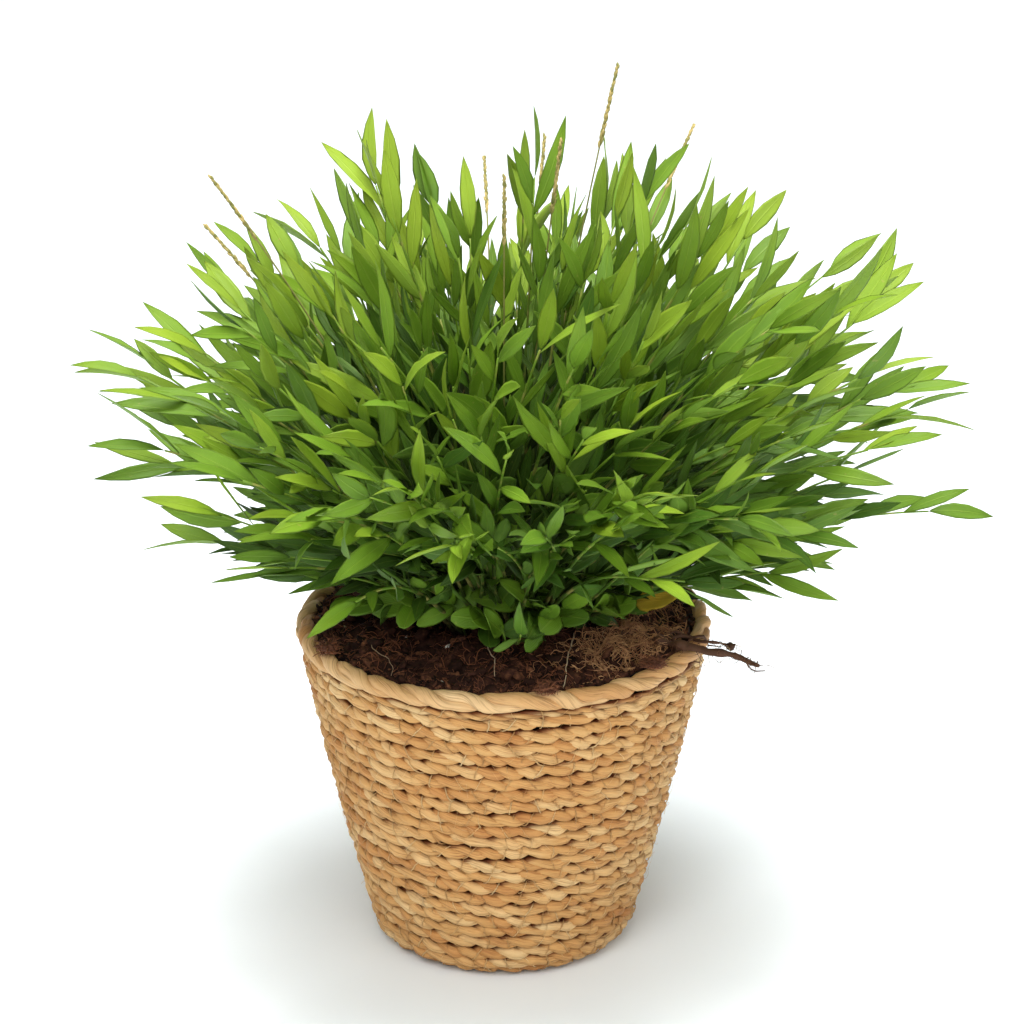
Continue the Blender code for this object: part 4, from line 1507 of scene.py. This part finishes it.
    def clothe(self, path: Array, kind: Blade, first: float, tone: float) -> Leaves:
        """Leaves for one culm, alternating up it, with one at its tip.

        Args:
            path: the stem's line, shape (steps, 3).
            kind: the sort of leaf.
            first: share of the stem that stays bare.
            tone: the culm's own tone.

        Returns:
            The leaves.
        """
        rng = self.rng
        span = np.linalg.norm(path[-1] - path[0])
        count = max(int(span * (1 - first) / kind.spacing), 2)
        share = first + (1 - first) * (np.arange(count) + rng.uniform(0.1, 0.9, count)) / count
        share = np.append(np.minimum(share, 0.985), 1.0)
        slot = share * (len(path) - 1)
        foot = read_line(path, slot)
        stem = unit(read_line(unit(np.gradient(path, axis=0)), slot))
        out = unit(foot * [1, 1, 0] + 1e-6)
        plane = unit(np.cross(stem, unit(out + rng.normal(size=3) * 0.25)))
        across = np.cross(stem, plane)
        roll = rng.normal(size=count + 1) * 0.75
        lean = plane * np.cos(roll)[:, None] + across * np.sin(roll)[:, None]
        lean *= np.where(np.arange(count + 1) % 2 == 0, 1, -1)[:, None]
        angle = rng.uniform(*kind.splay, count + 1)
        angle[-1] = rng.uniform(0, 0.12)
        heading = unit(stem * np.cos(angle)[:, None] + lean * np.sin(angle)[:, None])
        heading = unit(heading + out * 0.10 + UP * 0.05)
        heading[:, 2] = np.maximum(heading[:, 2], kind.lowest)
        heading = unit(heading)
        face = UP * 0.75 + out * kind.outward + np.array([0, -0.5, 0.0])
        face = face + rng.normal(size=(count + 1, 3)) * 0.38
        length = kind.length * (1 + kind.spread * rng.uniform(-1, 1, count + 1))
        length *= 0.72 + 0.28 * smooth(first - 0.1, 0.75, share)
        length[-1] = kind.length * rng.uniform(0.80, 1.05)
        width = kind.width * rng.uniform(0.72, 1.28, count + 1) * (length / kind.length) ** 0.6
        reach = np.linalg.norm(foot - self.crown, axis=1)
        full = np.where(foot[:, 2] > self.peat_top + 40 * MM, 1.15, 0.95) * self.side_reach
        outer = smooth(0.3, 1.0, reach / full)
        high = smooth(-10 * MM, 95 * MM, foot[:, 2] - self.peat_top)
        # Painted shade and light: leaves near the crown and low down are darker, those far out and high up
        # paler, partly their own deeper green
        shade = tone + 0.62 * outer * (0.42 + 0.58 * high) + 0.09 * rng.normal(size=count + 1)
        shade = np.minimum(shade + kind.painted_tip_light * (share - 0.6), kind.palest)
        return Leaves([foot], [heading], [face], [length], [width], [shade], [np.zeros(count + 1)])

    @staticmethod
    def gather(into: Leaves, more: Leaves) -> None:
        """Adds one batch of leaves to another."""
        for part in vars(into):
            getattr(into, part).extend(getattr(more, part))

    def usual_reach(self, rise: Array) -> Array:
        """How far a usual culm reaches at this rise, in radians."""
        degrees = np.degrees(rise)
        climb = smooth(self.lowest, self.lowest + 22, degrees)
        reach = self.side_reach + (self.full_reach - self.side_reach) * climb
        return reach + (self.top_reach - self.full_reach) * smooth(42, 66, degrees)

    def room(self, way: Array) -> Array:
        """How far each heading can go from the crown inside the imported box."""
        low, high = (np.array(corner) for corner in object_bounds())
        wall = np.where(way > 0, high - self.crown, low - self.crown)
        return (wall / np.where(np.abs(way) < 1e-6, 1e-6, way)).min(axis=1)

    def grow(self, foot: Array, tip: Array, arch: float) -> Array:
        """A stem's line: it leaves its foot more steeply than it ends.

        Args:
            foot: start points, shape (stems, 3).
            tip: end points.
            arch: degrees steeper at the foot than the line to the tip.

        Returns:
            Lines, shape (stems, STEM_STEPS, 3).
        """
        span = np.linalg.norm(tip - foot, axis=1)
        way = unit(tip - foot)
        azimuth = np.arctan2(tip[:, 1], tip[:, 0])
        rise = np.arcsin(np.clip(way[:, 2], -1, 1))
        steep = rise + np.radians(arch) * (1 - rise / (np.pi / 2))
        middle = foot + self.heading(azimuth, steep) * (span * 0.5)[:, None]
        share = np.tile(np.linspace(0, 1, STEM_STEPS), (len(foot), 1))
        return bend_line(foot, middle, tip, share)

    def tufts(self, surface: Surface) -> None:
        """The culms: each packed one with the companions nearest to it."""
        foot, tip = self.all_ends(self.culms)
        rng = self.rng
        place = np.arange(self.companions)
        azimuth = np.radians(self.golden) * place + 0.7 + rng.normal(size=self.companions) * 0.06
        low = np.sin(np.radians(self.lowest - 3))
        rise = np.arcsin(low + (1 - low) * (place + 0.5) / self.companions)
        in_front = smooth(0.3, 0.9, -np.sin(azimuth))
        steeper = 0.1 * rng.random(self.companions) * in_front
        rise = np.maximum(rise, np.radians(self.front_rise) * in_front + steeper)
        at_side = np.radians(np.where(np.cos(azimuth) < 0, self.left_rise, self.right_rise))
        rise = np.maximum(rise, at_side * (0.9 + 0.2 * rng.random(self.companions)))
        reach = self.usual_reach(rise) * rng.uniform(*self.ragged, self.companions)
        lean = self.lean + self.low_lean * smooth(30, 12, np.degrees(rise))
        reach = reach * (1 + lean * np.cos(azimuth))
        way = self.heading(azimuth, rise)
        reach = np.minimum(reach, self.room(way))
        more_tip = self.crown + way * reach[:, None]
        spread = np.cos(rise) * self.clump * rng.uniform(0.6, 1.08, self.companions)
        more_foot = polar(azimuth + rng.normal(size=self.companions) * 0.3, spread, 0.0)
        more_foot[:, 2] = self.peat_top - 2 * MM
        owner = np.argmax(unit(more_tip - self.crown) @ unit(tip - self.crown).T, axis=1)
        all_foot = np.concatenate([foot, more_foot])
        all_tip = np.concatenate([tip, more_tip])
        owners = np.concatenate([np.arange(len(tip)), owner])
        stem_end = all_tip - unit(all_tip - all_foot) * (LANCE.length * LANCE.past_stem)
        lines = self.grow(all_foot, stem_end, self.arch)
        bow = np.sin(np.linspace(0, np.pi, STEM_STEPS))[None, :, None]
        lines = lines + bow * rng.normal(size=(len(lines), 1, 3)) * self.bow
        for which, name in enumerate(self.culms):
            mine = np.flatnonzero(owners == which)
            piece = Piece(name.replace("culm", "tuft"))
            radius = self.culm_radius * (1.15 - 0.7 * ALONG_STEM)[None]
            rings = tube_rings(lines[mine], radius * rng.uniform(0.8, 1.15, (len(mine), 1)), 6)
            # stems darker towards their feet: painted shade inside the clump
            piece.skin(rings, stem=1.0, tone=np.linspace(0.05, 0.62, STEM_STEPS)[None, :, None])
            leaves = Leaves()
            for index in mine:
                own = self.tone + 0.08 * rng.normal() + 0.08 * (index < len(tip))
                bare = rng.uniform(*self.bare)
                self.gather(leaves, self.clothe(lines[index], LANCE, bare, own))
            self.blades(piece, leaves, LANCE)
            piece.build(surface, "leaf", name)

    def low_growth(self, surface: Surface) -> None:
        """Short shoots of oval leaves that fill the foot of the clump."""
        rng = self.rng
        foot, tip = self.all_ends(self.lows)
        count = self.short_shoots
        place = np.arange(count)
        azimuth = np.radians(self.golden) * place + 0.2
        rise = np.radians(rng.uniform(*self.low_rise, count))
        reach = (rng.uniform(*self.low_reach, count) + self.low_dome * np.sin(rise)) * MM
        more_tip = self.crown + self.heading(azimuth, rise) * reach[:, None]
        more_foot = polar(azimuth, rng.uniform(*self.low_foot, count) * MM, 0.0)
        more_foot[:, 2] = self.peat_top - 3 * MM
        way = np.arctan2(tip[:, 1], tip[:, 0])
        gap = np.abs((azimuth[:, None] - way[None] + np.pi) % TURN - np.pi)
        owners = np.concatenate([np.arange(len(tip)), gap.argmin(axis=1)])
        all_foot = np.concatenate([foot, more_foot])
        all_tip = np.concatenate([tip, more_tip])
        stem_end = all_tip - unit(all_tip - all_foot) * OVAL.length * OVAL.past_stem
        lines = self.grow(all_foot, stem_end, self.low_arch)
        turning = int(np.abs(way - self.turning).argmin())
        for which, name in enumerate(self.lows):
            mine = np.flatnonzero(owners == which)
            piece = Piece(name + "_leaves")
            radius = self.thin_radius * (1.1 - 0.5 * ALONG_STEM)[None]
            # stems darker towards their feet: painted shade inside the clump
            tone = np.linspace(0.1, 0.5, STEM_STEPS)[None, :, None]
            piece.skin(tube_rings(lines[mine], radius, 5), stem=1.0, tone=tone)
            leaves = Leaves()
            for index in mine:
                own = self.low_tone + 0.13 * rng.normal()
                self.gather(leaves, self.clothe(lines[index], OVAL, self.low_bare, own))
            leaves.old[0][-1] = self.yellowed if which == turning else 0.0
            self.blades(piece, leaves, OVAL)
            piece.build(surface, "low_leaf", name)

    def flower_spikes(self) -> None:
        """Thin stalks that end in a long head of overlapping grains."""
        surface = self.head.surface()
        rng = self.rng
        for name in self.spikes:
            foot, tip = self.ends(name)
            line = self.grow(foot[None], tip[None], self.arch)
            radius = self.thin_radius * (1.1 - 0.5 * ALONG_STEM)[None]
            piece = Piece(name + "_head")
            tone = np.linspace(0.0, 0.5, STEM_STEPS)[None, :, None] ** 2
            piece.skin(tube_rings(line, radius, 6), tone=tone)
            grains = self.grains
            share = np.linspace(self.head_start, 0.992, grains)
            base = read_line(line[0], share * (STEM_STEPS - 1))
            stem = unit(line[0, -1] - line[0, -3])
            side = unit(np.cross(stem, [0.2, 0.9, 0.1]))
            other = np.cross(stem, side)
            turn = np.arange(grains) * 2.4
            away = side * np.cos(turn)[:, None] + other * np.sin(turn)[:, None]
            heading = unit(stem + away * rng.uniform(0.12, 0.30, grains)[:, None])
            steps = np.linspace(0, 1, 5)
            shorter = 1 - 0.3 * np.linspace(0, 1, grains)[:, None]
            length = rng.uniform(2.4, 3.6, grains)[:, None] * MM * shorter
            path = base[:, None] + heading[:, None] * (length * steps)[..., None]
            size = self.grain_radius * np.sin(np.clip(steps, 0.06, 0.95) * np.pi) ** 0.7
            piece.skin(tube_rings(path, size[None], 5), tone=rng.uniform(0.1, 1.0, (grains, 1, 1)))
            piece.build(surface, "straw", name)

    def build(self) -> None:
        """Every shoot."""
        leaf = self.finish.surface()
        self.tufts(leaf)
        self.low_growth(leaf)
        self.flower_spikes()


# ---- studio ----
@dataclass(frozen=True)
class Lamp:
    """A square soft box aimed at the basket's axis."""

    name: str
    place: tuple[float, float, float]
    size: float  # its side
    power: float  # watts
    aim: float  # height of the point that it faces

    def hang(self) -> None:
        """Adds it to the scene."""
        lamp = bpy.data.lights.new(self.name, "AREA")
        lamp.shape = "SQUARE"
        lamp.size = self.size
        lamp.energy = self.power
        made = bpy.data.objects.new(self.name, lamp)
        bpy.context.scene.collection.objects.link(made)
        made.location = self.place
        away = np.array(self.place) - [0, 0, self.aim]
        made.rotation_euler = (
            float(np.arctan2(np.hypot(away[0], away[1]), away[2])),
            0.0,
            float(np.arctan2(away[1], away[0]) + np.pi / 2),
        )


@dataclass
class Studio:
    """Pale floor, soft light and the camera."""

    away: float = 1.152  # level distance from the basket's axis to the camera
    height: float = 0.594
    lens: float = 130.4
    sensor: float = 36.0
    pitch: float = 21.0  # degrees down
    yaw: float = 0.14  # degrees, to bring the basket left of the middle
    floor_half: float = 3.0
    world: float = 0.34  # strength of the even light from all round
    lamps: tuple[Lamp, ...] = (
        Lamp("Key", (-0.45, -1.5, 1.5), 1.1, 23.0, 0.15),
        Lamp("Fill", (1.0, -1.4, 1.1), 1.4, 11.0, 0.15),
        Lamp("Top", (0.05, 0.05, 1.9), 1.0, 50.0, 0.1),
        Lamp("Back", (0.0, 2.3, 0.7), 0.9, 3.0, -1.2),
    )

    def build(self) -> None:
        """Sets the stage."""
        scene = bpy.context.scene
        scene.view_settings.view_transform = "Standard"
        world = bpy.data.worlds.new("Studio")
        world.use_nodes = True
        background = world.node_tree.nodes["Background"]
        background.inputs["Color"].default_value = (1, 1, 1, 1)
        background.inputs["Strength"].default_value = self.world
        scene.world = world
        floor = bpy.data.meshes.new("floor")
        half = self.floor_half
        corners = [(-half, -half, 0), (half, -half, 0), (half, half, 0), (-half, half, 0)]
        floor.from_pydata(corners, [], [(0, 1, 2, 3)])
        ground = bpy.data.objects.new("floor", floor)
        scene.collection.objects.link(ground)
        paper = Surface("Paper", 0.9, 0.1)
        grain = paper.cloud(3.0, 2.0)
        paper.dress(paper.mix(grain, rgb(241, 248, 250), rgb(244, 251, 253)))
        floor.materials.append(paper.material)
        ground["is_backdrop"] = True
        for lamp in self.lamps:
            lamp.hang()
        lens = bpy.data.cameras.new("Camera")
        lens.lens = self.lens
        lens.sensor_width = self.sensor
        camera = bpy.data.objects.new("Camera", lens)
        scene.collection.objects.link(camera)
        camera.location = (0.0, -self.away, self.height)
        camera.rotation_euler = (np.radians(90 - self.pitch), 0.0, np.radians(-self.yaw))
        scene.camera = camera


def main() -> None:
    """Builds everything in order."""
    logging.basicConfig(level=logging.INFO, format="%(name)s %(message)s")
    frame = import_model()
    Studio().build()
    Basket(frame).build()
    Rim(frame).build()
    Filling(frame).build()
    Foliage(frame).build()


if __name__ == "__main__":
    main()
